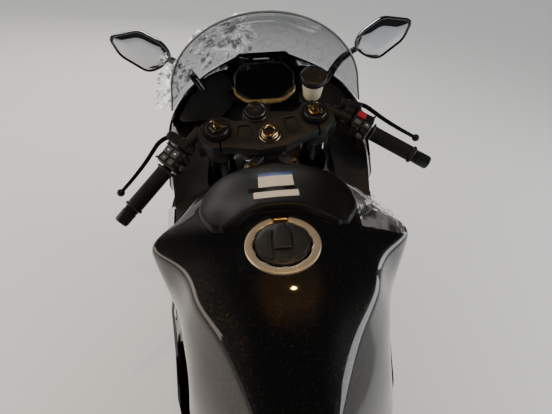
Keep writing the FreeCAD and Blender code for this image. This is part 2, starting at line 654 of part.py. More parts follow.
def frame():
    """Twin spar frame: head tube, spars, pivot plates, cross tubes, seat rails and stand bracket."""
    head = Part.makeCylinder(HEAD_TUBE_R, HEAD_HIGH_S - HEAD_LOW_S, Vector(0, 0, HEAD_LOW_S))
    head.Placement = STEER_FRAME
    bore = Part.makeCylinder(STEM_R + RUNNING_GAP, 200, Vector(0, 0, HEAD_LOW_S - 20))
    bore.Placement = STEER_FRAME
    wires = []
    for x, y, z, thick, height, lean in SPAR_SECTIONS:
        half = thick / 2
        low = Vector(x + lean, 0, z - height / 2)
        high = Vector(x - lean, 0, z + height / 2)
        corners = [low + Y_AXIS * (y - half), low + Y_AXIS * (y + half), high + Y_AXIS * (y + half),
                   high + Y_AXIS * (y - half)]
        wires.append(rounded_wire(corners, 9))
    spar = Part.makeLoft(wires, True, True)
    plate = side_plate([(566, 600), (668, 614), (692, 520), (664, 420), (652, 330), (600, 282),
                        (548, 310), (540, 420), (552, 520)], PLATE_IN_Y, PLATE_OUT_Y, 16)
    collar = across(22, CHAIN_ROOM_IN_Y, PLATE_OUT_Y, PIVOT.x, PIVOT.z)
    upper = across(17, -PLATE_IN_Y - 4, PLATE_IN_Y + 4, 590, 560)
    lower = across(14, -PLATE_IN_Y - 4, PLATE_IN_Y + 4, 604, 304)
    gusset = side_plate([(1096, 760), (1030, 730), (1030, 756), (1086, 800)], -78, 78, 4)
    ear = Part.makeCylinder(22, 12, STAND_PIVOT - STAND_AXIS * 31, STAND_AXIS)
    pin = Part.makeCylinder(STAND_BOLT_R, 58, STAND_PIVOT - STAND_AXIS * 44, STAND_AXIS)
    arm = rod(STAND_PIVOT - STAND_AXIS * 34, Vector(630, 138, 330), 10)
    rails = [fused(rod(Vector(*low), Vector(*high), 11)) for low, high in SEAT_RAILS]
    whole = fused(spar, mirrored(spar), plate, mirrored(plate), collar, mirrored(collar), upper, lower,
                  gusset, head, ear, pin, arm, *rails, *[mirrored(rail) for rail in rails])
    whole = whole.cut(bore)
    whole = whole.cut(across(PIVOT_R + RUNNING_GAP, -200, 200, PIVOT.x, PIVOT.z))
    keep("frame", whole, "root")


SEAT_RAILS = [
    ((650, 138, 590), (420, 96, 740)),
    ((740, 152, 640), (420, 94, 768)),
]


FRONT_TEETH = 16
COUNTERSHAFT = Vector(682, 0, 392)


def engine():
    """Engine as one plain casting: crankcase, gearbox, forward leaning cylinders and side covers."""
    case = side_plate([(704, 270), (740, 226), (960, 224), (1000, 300), (1000, 410), (960, 470),
                       (730, 500), (704, 440)], -148, 148, 14)
    gearbox = side_plate([(656, 340), (720, 300), (720, 480), (662, 480)],
                         -PLATE_IN_Y + SEAT_GAP, CHAIN_ROOM_IN_Y, 10)
    cylinders = side_plate([(800, 470), (950, 455), (1004, 590), (990, 640), (880, 660), (828, 630)],
                           -136, 136, 12)
    stator = across(76, 140, 200, 930, 338)
    clutch = across(82, -208, -140, 816, 340)
    pump = across(40, 140, 184, 790, 330)
    sump = side_plate([(760, 214), (940, 214), (930, 240), (770, 240)], -70, 70, 4)
    whole = fused(case, gearbox, cylinders, stator, clutch, pump, sump)
    room = side_plate([(600, 300), (700, 320), (748, 356), (748, 430), (700, 462), (600, 462)],
                      CHAIN_ROOM_IN_Y, 122, 6)
    shaft = across(12, CHAIN_ROOM_IN_Y - 1, CHAIN_Y + 8, COUNTERSHAFT.x, COUNTERSHAFT.z)
    cog = sprocket(FRONT_TEETH, 8.0, CHAIN_Y, 6.0)
    cog.translate(COUNTERSHAFT)
    keep("engine", fused(whole.cut(room), shaft, cog), "root")


RADIATOR_LOW = Vector(1074, 0, 430)
RADIATOR_HIGH = Vector(1121, 0, 664)
RADIATOR_HALF = 172.0
RADIATOR_THICK = 26.0


def cooling():
    """Curved free standing radiator, simplified to a flat core between two side tanks."""
    lean = math.degrees(math.atan2(RADIATOR_HIGH.x - RADIATOR_LOW.x, RADIATOR_HIGH.z - RADIATOR_LOW.z))
    height = (RADIATOR_HIGH - RADIATOR_LOW).Length
    core = block(-RADIATOR_THICK / 2, RADIATOR_THICK / 2, -RADIATOR_HALF + 26, RADIATOR_HALF - 26, 0, height)
    tank = block(-RADIATOR_THICK / 2 - 4, RADIATOR_THICK / 2 + 4, RADIATOR_HALF - 30, RADIATOR_HALF, -4, height + 4)
    whole = fused(core, tank, mirrored(tank))
    whole.Placement = Placement(RADIATOR_LOW, Rotation(Y_AXIS, lean))
    mount = rod(Vector(1112, 120, 636), Vector(1040, 104, 744), 7).cut(nodes["frame"][0])
    mount = max(mount.Solids, key=lambda solid: solid.BoundBox.XMax)
    keep("radiator", fused(whole, mount, mirrored(mount)), "root")


HEADER_R = 18.0
MUFFLER_FROM = Vector(560, -196, 252)
MUFFLER_TO = Vector(318, -214, 332)


def exhaust():
    """Four headers that run under the engine into a chamber, and a short muffler on the right."""
    pipes = []
    for y in (-102, -34, 34, 102):
        points = [Vector(985, y, 562), Vector(1032, y, 536), Vector(1034, y, 300),
                  Vector(985, y * 0.85, 192), Vector(860, y * 0.7, 186), Vector(770, y * 0.6, 186)]
        pipes.append(pipe(points, HEADER_R))
    chamber = Part.makeLoft([
        rounded_wire([Vector(790, -88, 164), Vector(790, 88, 164), Vector(790, 88, 208), Vector(790, -88, 208)], 14),
        rounded_wire([Vector(650, -80, 160), Vector(650, 80, 160), Vector(650, 80, 220), Vector(650, -80, 220)], 14),
    ], True, True)
    link = pipe([Vector(670, -50, 196), Vector(620, -110, 204), Vector(582, -180, 240),
                 MUFFLER_FROM + (MUFFLER_TO - MUFFLER_FROM) * 0.02], 25)
    whole = fused(chamber, link, *pipes)
    whole = whole.cut(nodes["engine"][0])
    keep("exhaust", whole, "root")

    along = MUFFLER_TO - MUFFLER_FROM
    turn = Rotation(Z_AXIS, along)
    # Muffler sections: share of its length, half width, half height
    table = [(0.02, 34, 36), (0.2, 50, 62), (0.75, 50, 66), (1.0, 40, 50)]
    wires = []
    for share, wide, high in table:
        corners = [Vector(-high, -wide, 0), Vector(high, -wide * 0.7, 0), Vector(high, wide * 0.7, 0),
                   Vector(-high, wide, 0)]
        wire = rounded_wire(corners, 22)
        wire.Placement = Placement(MUFFLER_FROM + along * share, turn)
        wires.append(wire)
    body = Part.makeLoft(wires, True, True)
    mouth = rod(MUFFLER_FROM + along * 0.86, MUFFLER_FROM + along * 1.02, 24)
    body = body.cut(mouth)
    keep("muffler", body.cut(nodes["exhaust"][0]), "root")


ARM_IN_Y = 124.0
ARM_OUT_Y = 150.0
SPOOL_X = 64.0
SPOOL_Z = 292.0
SPOOL_R = 4.0
SPOOL_DEEP = 20.0


def swingarm():
    """Two armed swingarm with its cross beam and pivot tube, its bolts and the shock absorber."""
    arm = side_plate([(500, 440), (300, 400), (110, 372), (-52, 352), (-66, 315), (-52, 278), (100, 266),
                      (300, 294), (500, 316)], ARM_IN_Y, ARM_OUT_Y, 14)
    beam = side_plate([(384, 316), (502, 322), (506, 414), (470, 418), (396, 410)], -ARM_OUT_Y, ARM_OUT_Y, 10)
    hump = side_plate([(400, 400), (520, 400), (500, 452), (410, 440)], -70, 70, 8)
    nose = side_plate([(480, 330), (598, 352), (604, 418), (480, 440)], -CHAIN_ROOM_IN_Y + SEAT_GAP,
                      CHAIN_ROOM_IN_Y - SEAT_GAP, 6)
    pivot = across(38, -CHAIN_ROOM_IN_Y + SEAT_GAP, CHAIN_ROOM_IN_Y - SEAT_GAP, PIVOT.x, PIVOT.z)
    whole = fused(beam, hump, nose, pivot, arm, mirrored(arm))
    whole = whole.cut(block(508, 548, -58, 58, 250, 500))
    whole = whole.cut(across(PIVOT_R + RUNNING_GAP, -160, 160, PIVOT.x, PIVOT.z))
    whole = whole.cut(across(REAR_AXLE_R + RUNNING_GAP, -160, 160, 0, REAR_TYRE_R))
    for side in (1, -1):
        deep = Part.makeCylinder(SPOOL_R, SPOOL_DEEP, Vector(SPOOL_X, side * ARM_OUT_Y, SPOOL_Z), Y_AXIS * -side)
        whole = whole.cut(deep)
    keep("swingarm", whole, "root")

    reach = ARM_OUT_Y + 10
    axle = across(REAR_AXLE_R, -reach, reach, 0, REAR_TYRE_R).cut(across(10.0, -reach, reach, 0, REAR_TYRE_R))
    reach = PLATE_OUT_Y + 8
    bolt = across(PIVOT_R, -reach, reach, PIVOT.x, PIVOT.z)
    keep("rear_axle", joined(axle, bolt), "root")

    low = Vector(528, 0, 396)
    high = Vector(578, 0, 566)
    along = (high - low).normalize()
    body = rod(low, high, 16)
    spring = rod(low + along * 36, high - along * 22, 33)
    collar = rod(low + along * 28, low + along * 36, 37)
    eye = across(15, -22, 22, low.x, low.z)
    shock = fused(body, spring, collar, eye, across(18, -20, 20, high.x, high.z))
    keep("rear_shock", shock.cut(nodes["frame"][0]).cut(nodes["swingarm"][0]), "root")


def chain_loop():
    """Drive chain as one fixed loop: two rows of link plates joined by pins."""
    front = COUNTERSHAFT
    rear = REAR_AXLE
    r_front = pitch_radius(FRONT_TEETH)
    r_rear = pitch_radius(SPROCKET_TEETH)
    def band(offset):
        """Face of the stadium shape round both sprockets, grown by offset."""
        line = front - rear
        reach = line.Length
        base = math.atan2(line.z, line.x)
        swing = math.acos((r_rear - r_front) / reach)
        rf = r_front + offset
        rr = r_rear + offset
        def spot(centre, radius, angle):
            return Vector(centre.x + radius * math.cos(angle), 0, centre.z + radius * math.sin(angle))
        up = base + swing
        down = base - swing
        edges = [
            Part.LineSegment(spot(rear, rr, up), spot(front, rf, up)).toShape(),
            Part.Arc(spot(front, rf, up), spot(front, rf, base), spot(front, rf, down)).toShape(),
            Part.LineSegment(spot(front, rf, down), spot(rear, rr, down)).toShape(),
            Part.Arc(spot(rear, rr, down), spot(rear, rr, base + math.pi), spot(rear, rr, up)).toShape(),
        ]
        return Part.Face(Part.Wire(edges))
    ring = band(7.0).cut(band(-ROLLER_R))
    loop = ring.extrude(Vector(0, CHAIN_W, 0))
    loop.translate(Vector(0, CHAIN_Y - CHAIN_W / 2, 0))
    keep("chain", loop, "root")


# Bodywork

# Tank sections: station x, then (half width, z) at the crown, ridge, flank and base
TANK_SECTIONS = [
    (560, (18, 826), (44, 818), (70, 780), (92, 726)),
    (600, (30, 856), (60, 842), (104, 785), (132, 702)),
    (640, (40, 884), (80, 862), (130, 790), (152, 690)),
    (700, (55, 911), (120, 880), (150, 805), (160, 684)),
    (765, (70, 921), (150, 886), (172, 825), (160, 684)),
    (806, (85, 926), (195, 889), (194, 862), (164, 692)),
    (870, (90, 925), (160, 893), (170, 845), (162, 716)),
    (960, (80, 908), (122, 882), (140, 820), (118, 748)),
    (1012, (50, 884), (84, 866), (96, 815), (78, 766)),
]
CAP_CENTRE = Vector(765, 0, 921)
CAP_SLOPE_DEG = 4.0
RING_R = 53.0
LID_R = 38.5
NECK_R = 30.0
NECK_DEEP = 60.0
LID_THICK = 9.0
LID_HINGE_REACH = 46.0


def cap_frame():
    """Frame on the filler: X forward along the tank's top, Z out of it."""
    return Placement(CAP_CENTRE, Rotation(Y_AXIS, -CAP_SLOPE_DEG))


def tank():
    """Fuel tank with its filler neck, the front cover, the filler ring and the hinged lid."""
    body = hull(TANK_SECTIONS, 26)
    raised = []
    for row in TANK_SECTIONS[5:]:
        raised.append((row[0] + 2, *[(w + 7, z + 11) for w, z in row[1:3]], (row[3][0] + 3, row[3][1] + 6), row[4]))
    shell = hull(raised, 26)
    plan = [(829, 22), (806, 64), (792, 90), (826, 119), (880, 127), (934, 112), (980, 62), (1004, 24)]
    outline = flat_plate(plan + [(x, -y) for x, y in reversed(plan)], 800, 960, 18)
    cover = shell.common(outline).cut(body)
    cover = cover.cut(block(780, 1040, -200, 200, 700, 862))

    place = cap_frame()
    neck = Part.makeCylinder(NECK_R, NECK_DEEP + 20, Vector(0, 0, -NECK_DEEP))
    seat = Part.makeCylinder(RING_R + SEAT_GAP, 40, Vector(0, 0, -8))
    for cutter in (neck, seat):
        cutter.Placement = place
        body = body.cut(cutter)
    cover = cover.cut(seat)
    keep("fuel_tank", largest(body.cut(nodes["frame"][0])), "root")
    keep("tank_cover", cover, "root")

    ring = Part.makeCylinder(RING_R, 10, Vector(0, 0, -8 + SEAT_GAP))
    ring = ring.cut(Part.makeCylinder(LID_R + 1.2, 30, Vector(0, 0, -6)))
    ring = ring.cut(Part.makeCylinder(NECK_R, 30, Vector(0, 0, -10)))
    notch = block(LID_R - 8, LID_HINGE_REACH + 8, -11, 11, -5, 20)
    ring = ring.cut(notch)
    pin = across(1.5, -11.5, 11.5, LID_HINGE_REACH, 0.5)
    ring = fused(ring, pin)
    ring.Placement = place
    keep("filler_ring", ring, "root")

    lid = Part.makeCylinder(LID_R, LID_THICK, Vector(0, 0, -5.5))
    tab = block(LID_R - 10, LID_HINGE_REACH, -9.5, 9.5, -2, LID_THICK - 5.5)
    knuckle = across(4.0, -9.5, 9.5, LID_HINGE_REACH, 0.5)
    flap = block(-30, 30, -9, 9, LID_THICK - 6, LID_THICK - 1.5)
    lid = fused(lid, tab, knuckle, flap)
    lid = lid.cut(across(1.5 + RUNNING_GAP, -12, 12, LID_HINGE_REACH, 0.5))
    lid.Placement = place
    keep("fuel_lid", lid, "fuel_lid")


# Upper cowl sections: station x, then (half width, z) at the top, shoulder, side and foot
COWL_SECTIONS = [
    (1170, (150, 905), (226, 850), (244, 745), (214, 672)),
    (1262, (150, 965), (231, 878), (246, 750), (205, 668)),
    (1335, (110, 985), (188, 920), (220, 768), (172, 672)),
    (1405, (60, 972), (120, 932), (178, 796), (128, 690)),
    (1480, (45, 915), (85, 880), (124, 802), (84, 716)),
    (1552, (20, 850), (38, 836), (52, 802), (30, 768)),
]
COWL_WALL = 5.0
SCREEN_EDGE_LOW = Vector(1292, 228, 882)
SCREEN_BASE_TOP = Vector(1408, 0, 962)
SCREEN_TIP = Vector(1214, 0, 1112)
SCREEN_EDGE_HIGH = Vector(1275, 217, 933)
SCREEN_THICK = 3.0


def above_screen_base(lift=0.0):
    """Block that fills the room above the plane of the windscreen's base."""
    slope = math.atan2(SCREEN_BASE_TOP.z - SCREEN_EDGE_LOW.z, SCREEN_BASE_TOP.x - SCREEN_EDGE_LOW.x)
    room = block(-400, 2, -400, 400, 0, 500)
    room.Placement = Placement(SCREEN_BASE_TOP + Vector(0, 0, lift), Rotation(Y_AXIS, -math.degrees(slope)))
    return room


def upper_cowl():
    """Nose cowl with its headlamps, the windscreen, the inner panels and the dash."""
    outer = hull(COWL_SECTIONS, 34)
    inner_table = shrunk(COWL_SECTIONS, COWL_WALL, 60.0)
    first = inner_table[0]
    inner_table[0] = (first[0] - 6, *first[1:])
    last = inner_table[-1]
    inner_table[-1] = (last[0] - 14, *[(max(w, 8), z) for w, z in last[1:]])
    inner = hull(inner_table, 34)
    shell = outer.cut(inner).cut(above_screen_base())
    lamp_outline = [(1396, 838), (1500, 812), (1540, 800), (1530, 786), (1480, 768), (1410, 786)]
    lamp = side_plate(lamp_outline, 30, 300, 6)
    lamps = shell.common(lamp)
    face = outline_face(lamp_outline, 6, lambda x, z: Vector(x, 28, z))
    grown = face.makeOffset2D(SEAT_GAP).extrude(Vector(0, 272, 0))
    shell = shell.cut(grown).cut(mirrored(grown))
    intake = side_plate([(1500, 800), (1580, 800), (1580, 770), (1500, 770)], -24, 24, 3)
    shell = shell.cut(intake)
    keep("upper_cowl", shell, "root")
    keep("headlamps", both(lamps), "root")

    wires = []
    rows = [
        (SCREEN_EDGE_LOW, SCREEN_BASE_TOP),
        ((SCREEN_EDGE_LOW + SCREEN_EDGE_HIGH) * 0.5, Vector(1322, 0, 1052)),
        (SCREEN_EDGE_HIGH, SCREEN_TIP),
    ]
    for edge, top in rows:
        wires.append(arch_band(edge, top, SCREEN_THICK))
    screen = Part.makeLoft(wires, True, False)
    screen = screen.cut(nodes["upper_cowl"][0])
    keep("windscreen", screen, "root")


def arch_band(edge, top, wall):
    """Thin closed band whose outer line is an arc from one side edge over the top to the other."""
    left = edge
    right = Vector(edge.x, -edge.y, edge.z)
    base = (left + right) * 0.5
    rise = (top - base)
    inward = Vector(0, -wall, 0)
    inner_top = top - rise.normalize() * wall
    outer_arc = Part.Arc(left, top, right).toShape()
    end = Part.LineSegment(right, right - inward).toShape()
    inner_arc = Part.Arc(right - inward, inner_top, left + inward).toShape()
    start = Part.LineSegment(left + inward, left).toShape()
    return Part.Wire([outer_arc, end, inner_arc, start])


# Fairing sections: station x, then (half width, z) at the top, shoulder, waist, low side and keel
FAIRING_SECTIONS = [
    (1440, (150, 790), (194, 735), (190, 690), (165, 640), (140, 610)),
    (1340, (190, 810), (248, 712), (238, 620), (210, 540), (190, 500)),
    (1240, (196, 805), (260, 700), (248, 580), (216, 450), (196, 400)),
    (1100, (200, 790), (252, 680), (250, 520), (220, 300), (130, 205)),
    (950, (196, 775), (230, 670), (246, 480), (226, 270), (110, 136)),
    (800, (184, 730), (210, 600), (238, 430), (216, 250), (105, 130)),
    (650, (150, 590), (176, 480), (196, 360), (150, 230), (80, 150)),
]
FAIRING_WALL = 4.5
BELLY_TOP_Z = 236.0


def fairings():
    """Side fairings and belly pan, cut from one hollow body along the real panel joints."""
    outer = hull(FAIRING_SECTIONS, 40)
    inner_rows = []
    for row in FAIRING_SECTIONS:
        pairs = [(w - FAIRING_WALL, z - FAIRING_WALL) for w, z in row[1:4]]
        pairs.append((row[4][0] - FAIRING_WALL, row[4][1]))
        pairs.append((row[5][0] - FAIRING_WALL, row[5][1] + FAIRING_WALL))
        inner_rows.append((row[0], *pairs))
    inner_rows[0] = (inner_rows[0][0] + 8, *inner_rows[0][1:])
    inner_rows[-1] = (inner_rows[-1][0] - 8, *inner_rows[-1][1:])
    inner = hull(inner_rows, 40)
    open_top = []
    for row in FAIRING_SECTIONS:
        wide = row[1][0] - FAIRING_WALL - 6
        open_top.append((row[0], (wide, row[1][1] + 60), (wide, row[1][1] - 30)))
    shell = outer.cut(inner).cut(hull(open_top, 8))
    side = side_plate([(1408, 668), (1384, 632), (1330, 560), (1215, 460), (1132, 380), (1094, 300), (1086, BELLY_TOP_Z),
                       (700, BELLY_TOP_Z), (720, 330), (800, 420), (860, 520), (880, 640), (880, 720),
                       (960, 738), (1100, 738), (1180, 664), (1300, 664)], 60, 300, 20)
    vent = side_plate([(1150, 600), (1090, 560), (1010, 520), (980, 470), (1020, 452), (1090, 470),
                       (1160, 530)], 60, 300, 14)
    panel = shell.common(side).cut(vent)
    keep("side_fairing_left", panel, "root")
    keep("side_fairing_right", mirrored(panel), "root")
    top = BELLY_TOP_Z - SEAT_GAP
    pan = side_plate([(1084, top), (690, top), (664, 200), (680, 110), (1100, 110), (1100, 215)], -300, 300, 6)
    pan = shell.common(pan)
    keep("belly_pan", pan, "root")
    stays = []
    for x, z in ((968, 400), (880, 330)):
        stay = across(8, 130, 300, x, z).cut(panel)
        stays.append(min(stay.Solids, key=lambda solid: solid.BoundBox.YMin))
    drop = rod(Vector(850, 112, 250), Vector(850, 112, 90), 7).cut(pan)
    stays.append(max(drop.Solids, key=lambda solid: solid.BoundBox.ZMax))
    whole = fused(nodes["engine"][0], *stays, *[mirrored(stay) for stay in stays])
    keep("engine", whole.cut(panel).cut(mirrored(panel)), "root")


# Tail sections: station x, then (half width, z) at the top, side and foot
TAIL_SECTIONS = [
    (430, (60, 800), (118, 772), (108, 704)),
    (330, (88, 838), (148, 802), (132, 716)),
    (230, (95, 880), (148, 842), (126, 746)),
    (60, (80, 945), (118, 906), (92, 824)),
    (-120, (55, 985), (80, 955), (58, 897)),
    (-232, (25, 975), (38, 958), (30, 930)),
]
SEAT_SECTIONS = [
    (566, (30, 822), (58, 806), (64, 772)),
    (500, (58, 828), (92, 806), (96, 776)),
    (400, (84, 838), (132, 812), (128, 786)),
    (320, (92, 858), (146, 826), (140, 800)),
    (282, (90, 880), (140, 850), (134, 820)),
]
PILLION_SECTIONS = [
    (258, (78, 930), (104, 908), (100, 860)),
    (160, (76, 958), (104, 938), (98, 890)),
    (60, (64, 985), (92, 962), (86, 915)),
    (-20, (50, 992), (72, 972), (66, 935)),
]


def tail():
    """Tail cowl, rider's seat, pillion seat, tail lamp and number plate bracket."""
    body = hull(TAIL_SECTIONS, 24)
    seat = hull(SEAT_SECTIONS, 20).cut(body).cut(nodes["fuel_tank"][0])
    pillion = hull(PILLION_SECTIONS, 18).cut(body)
    lamp = body.common(block(-260, -206, -60, 60, 900, 1000))
    body = body.cut(block(-260, -205.7, -60, 60, 900, 1000))
    keep("tail_cowl", body, "root")
    keep("rider_seat", seat, "root")
    keep("pillion_seat", pillion, "root")
    keep("tail_lamp", lamp, "root")
    frame_shape, frame_body, steered = nodes["frame"]
    nodes["frame"] = (frame_shape.cut(body).cut(seat), frame_body, steered)


STAND_FOOT = Vector(706, 282, 0)
STAND_R = 13.0
STAND_SWING_DEG = 88.0


def floor_point(x, y):
    """Point of the floor above or below (x, y) of the upright bike, with the floor's upward direction."""
    park = parked_placement()
    up = park.Rotation.inverted().multVec(Z_AXIS)
    level = park.inverse().multVec(Vector(0, 0, 0))
    z = level.z - (up.x * (x - level.x) + up.y * (y - level.y)) / up.z
    return Vector(x, y, z), up


def side_stand():
    """Side stand: pivot fork, leg and foot plate that lies flat on the floor."""
    foot, floor_up = floor_point(STAND_FOOT.x, STAND_FOOT.y)
    plate = Part.makeCylinder(26, 6, foot, floor_up)
    leg = rod(STAND_PIVOT, foot + floor_up * 9, STAND_R)
    eye = Part.makeCylinder(24, 20, STAND_PIVOT - STAND_AXIS * 10, STAND_AXIS)
    whole = fused(leg, eye, plate)
    hole = Part.makeCylinder(STAND_BOLT_R + RUNNING_GAP, 80, STAND_PIVOT - STAND_AXIS * 40, STAND_AXIS)
    keep("side_stand", whole.cut(hole), "side_stand")


def mirrors():
    """Two mirrors on stalks from the cowl, each head with its glass."""
    head = rounded_wire([Vector(1296, 200, 1010), Vector(1290, 230, 986), Vector(1284, 262, 978),
                         Vector(1276, 316, 1020), Vector(1272, 330, 1062), Vector(1276, 262, 1072),
                         Vector(1290, 214, 1040)], 12)
    front = head.copy()
    front.translate(Vector(34, 0, 4))
    front.scale(0.7, Vector(1316, 262, 1028))
    face = head
    body = Part.makeLoft([flat_wire(face, 0), flat_wire(face, 34)], True, True)
    stalk = pipe([Vector(1352, 158, 908), Vector(1346, 180, 956), Vector(1300, 236, 1016)], 8)
    body = largest(fused(body, stalk).cut(nodes["upper_cowl"][0]).cut(nodes["windscreen"][0]))
    keep("mirrors", both(body), "root")


def flat_wire(wire, forward):
    """Mirror outline in a plane across the bike; forward moves it and draws it in a little."""
    points = [Vector(1284, v.Point.y, v.Point.z) for v in wire.OrderedVertexes][::2]
    if forward:
        middle = Vector(1284, 262, 1026)
        points = [middle + (p - middle) * 0.72 for p in points]
    points = [p + Vector(forward, 0, 0) for p in points]
    return rounded_wire(points, 10)


def dash():
    """Instrument: eight sided housing that faces the rider."""
    wide, high = 76.0, 46.0
    cut = 26.0
    points = [(-wide, -high + cut), (-wide + cut * 1.4, -high), (wide - cut * 1.4, -high), (wide, -high + cut),
              (wide, high - cut), (wide - cut, high), (-wide + cut, high), (-wide, high - cut)]
    face = outline_face(points, 6, lambda b, h: Vector(h, b, 0))
    body = face.extrude(Vector(0, 0, -22))
    body.Placement = Placement(Vector(1350, 0, 918), Rotation(Y_AXIS, -58))
    keep("dash", body, "root")

    middle = Vector(1352, 0, 872)
    spine = pipe([Vector(1150, 0, 812), Vector(1290, 0, 858), middle + Vector(60, 0, 10)], 11)
    cross = largest(across(9, -220, 220, middle.x, middle.z).cut(nodes["upper_cowl"][0]))
    prop = rod(middle, Vector(1366, 0, 912), 8)
    bore = Part.makeCylinder(STEM_R + 6, 200, Vector(0, 0, HEAD_LOW_S - 20))
    bore.Placement = STEER_FRAME
    stay = fused(largest(spine.cut(nodes["frame"][0])), cross, prop).cut(bore).cut(body)
    keep("cowl_stay", largest(stay), "root")


PEG = Vector(502, 0, 384)
PEG_R = 10.5


def rearsets():
    """Foot pegs on their hangers, with the gear pedal on the left and the brake pedal on the right."""
    outer = PLATE_OUT_Y + 7
    hanger = side_plate([(612, 470), (566, 480), (500, 420), (476, 372), (500, 352), (540, 372), (600, 420)],
                        PLATE_OUT_Y + SEAT_GAP, outer, 12)
    peg = across(PEG_R, outer - 2, outer + 82, PEG.x, PEG.z)
    guard = side_plate([(470, 372), (500, 400), (486, 452), (440, 436)], outer - 5, outer - 1, 12)
    boss = across(14, outer - 2, outer + 16, PEG.x + 26, PEG.z - 4)
    pedal = pipe([Vector(PEG.x + 26, outer + 12, PEG.z - 4), Vector(PEG.x + 90, outer + 14, PEG.z - 34),
                  Vector(PEG.x + 156, outer + 22, PEG.z - 22)], 6)
    toe = across(8, outer + 14, outer + 54, PEG.x + 156, PEG.z - 22)
    room = across(PIVOT_R + 9, 100, 200, PIVOT.x, PIVOT.z)
    keep("rearsets", both(fused(hanger, peg, guard, boss, pedal, toe).cut(room)), "root")


def rear_brake_and_guard():
    """Rear caliper on its torque plate, the guard over the rear tyre and the plate bracket."""
    inner = REAR_DISC_Y - DISC_THICK / 2 - DISC_GAP
    body = sector(66, REAR_DISC_R + 12, 285, 325, -118, REAR_DISC_Y + 18)
    body = body.cut(across(REAR_DISC_R + DISC_GAP, inner, inner + DISC_THICK + 2 * DISC_GAP))
    plate = side_plate([(-26, -22), (-26, 22), (26, 24), (90, -44), (40, -96)], -ARM_IN_Y + SEAT_GAP, -115, 10)
    whole = fused(body, plate)
    whole = whole.cut(across(REAR_AXLE_R + RUNNING_GAP, -140, -100))
    whole.translate(REAR_AXLE)
    keep("rear_caliper", whole, "root")

    half = 78.0
    low = REAR_TYRE_R + 8
    drop = REAR_CROWN_DROP * 0.62
    skin = spun([
        (-half, low - drop), ((0.0, low + 3), (half, low - drop)), (half - 3, low - drop),
        ((0.0, low), (-half + 3, low - drop)),
    ], 96)
    skin.rotate(Vector(0, 0, 0), Y_AXIS, -96 - 12)
    skin.translate(REAR_AXLE)
    tongue = flat_plate([(290, -40), (408, -40), (408, 40), (290, 40)], 404, 410, 6)
    tongue = tongue.cut(across(low + 1, -60, 60, 0, REAR_TYRE_R))
    guard = largest(fused(skin, tongue).cut(nodes["swingarm"][0]))
    keep("rear_fender", guard, "root")

    arm = side_plate([(-60, 905), (-196, 948), (-236, 900), (-292, 770), (-304, 700), (-282, 696), (-262, 770),
                      (-210, 880)], -34, 34, 10)
    board = side_plate([(-296, 752), (-316, 640), (-312, 638), (-290, 752)], -62, 62)
    lamp_bar = across(6, -112, 112, -262, 812)
    pods = [fused(across(15, y, y + 58 if y > 0 else y + 58, -262, 812)) for y in (96, -154)]
    bracket = fused(arm, board, lamp_bar, *pods).cut(nodes["tail_cowl"][0]).cut(nodes["tail_lamp"][0])
    keep("plate_bracket", largest(bracket), "root")


HOSE_R = 3.6


def brake_hoses():
    """Brake hoses: from the master cylinder to a joint below the yoke, and on to both calipers."""
    joint = Vector(56, 0, 454)
    block_ = block(44, 66, -18, 18, 446, LOWER_YOKE_S - SEAT_GAP)
    side = pipe([joint + Vector(0, 12, 0), Vector(40, 50, 430), Vector(-6, 70, 372), Vector(-36, 76, 280),
                 Vector(-56, 82, 168)], HOSE_R)
    master = mirrored(rod(bar_point(60, 44, 2), bar_point(67, 44, 2), 4)).CenterOfMass
    feed = pipe([joint, Vector(96, -4, 462), Vector(112, -50, 540), Vector(96, -150, 610), master], HOSE_R)
    whole = fused(block_, side, mirrored(side), feed)
    for name in ("front_calipers", "levers", "lower_yoke", "fork_tubes", "brake_reservoir"):
        whole = whole.cut(nodes[name][0])
    keep("brake_hoses", largest(whole), "steering", True)


def cockpit_panels():
    """Inner panels that fill the cockpit between the cowl's sides and the dash."""
    corners = [Vector(1266, 216, 863), Vector(1330, 186, 893), Vector(1398, 112, 931), Vector(1382, 82, 915),
               Vector(1330, 84, 869), Vector(1296, 120, 847)]
    a, b, c = corners[0], corners[2], corners[4]
    normal = (b - a).cross(c - a).normalize()
    flat = [p - normal * (p - a).dot(normal) for p in corners]
    face = Part.Face(rounded_wire(flat, 10))
    panel = face.extrude(normal * 3.0).cut(nodes["upper_cowl"][0]).cut(nodes["windscreen"][0])
    panel = largest(panel.cut(nodes["cowl_stay"][0]).cut(nodes["dash"][0]))
    keep("cockpit_panels", both(panel), "root")


# Parked pose

def low_point(axle, direction, crown_r, radius):
    """Height of the lowest point of a round tyre whose axle points along direction."""
    flat = math.sqrt(max(0.0, 1 - direction.z ** 2))
    return axle.z - (radius - crown_r) * flat - crown_r


def crown_radius(width, drop):
    """Radius of the tyre's crown arc, from its chord and drop."""
    chord = width / 2 - 6.0
    return (chord ** 2 + drop ** 2) / (2 * drop)


def steer_turn():
    """Placement that turns what steers from straight ahead to the parked angle."""
    return STEER_FRAME.multiply(Placement(Vector(0, 0, 0), Rotation(Z_AXIS, STEER_REST_DEG)))


def parked_placement():
    """Lean to the left, and the small pitch that sets both tyres on the floor."""
    lean = Rotation(X_AXIS, -LEAN_DEG)
    steer = steer_turn()
    front_crown = crown_radius(FRONT_TYRE_W, FRONT_CROWN_DROP)
    rear_crown = crown_radius(REAR_TYRE_W, REAR_CROWN_DROP)
    pitch = 0.0
    for _ in range(6):
        turn = lean.multiply(Rotation(Y_AXIS, pitch))
        axle = turn.multVec(steer.multVec(Vector(FORK_OFFSET, 0, 0)))
        way = turn.multVec(steer.Rotation.multVec(Y_AXIS))
        front = low_point(axle, way, front_crown, FRONT_TYRE_R)
        rear = low_point(turn.multVec(REAR_AXLE), turn.multVec(Y_AXIS), rear_crown, REAR_TYRE_R)
        pitch += math.degrees((front - rear) / WHEELBASE)
    return Placement(Vector(0, 0, -rear), turn)


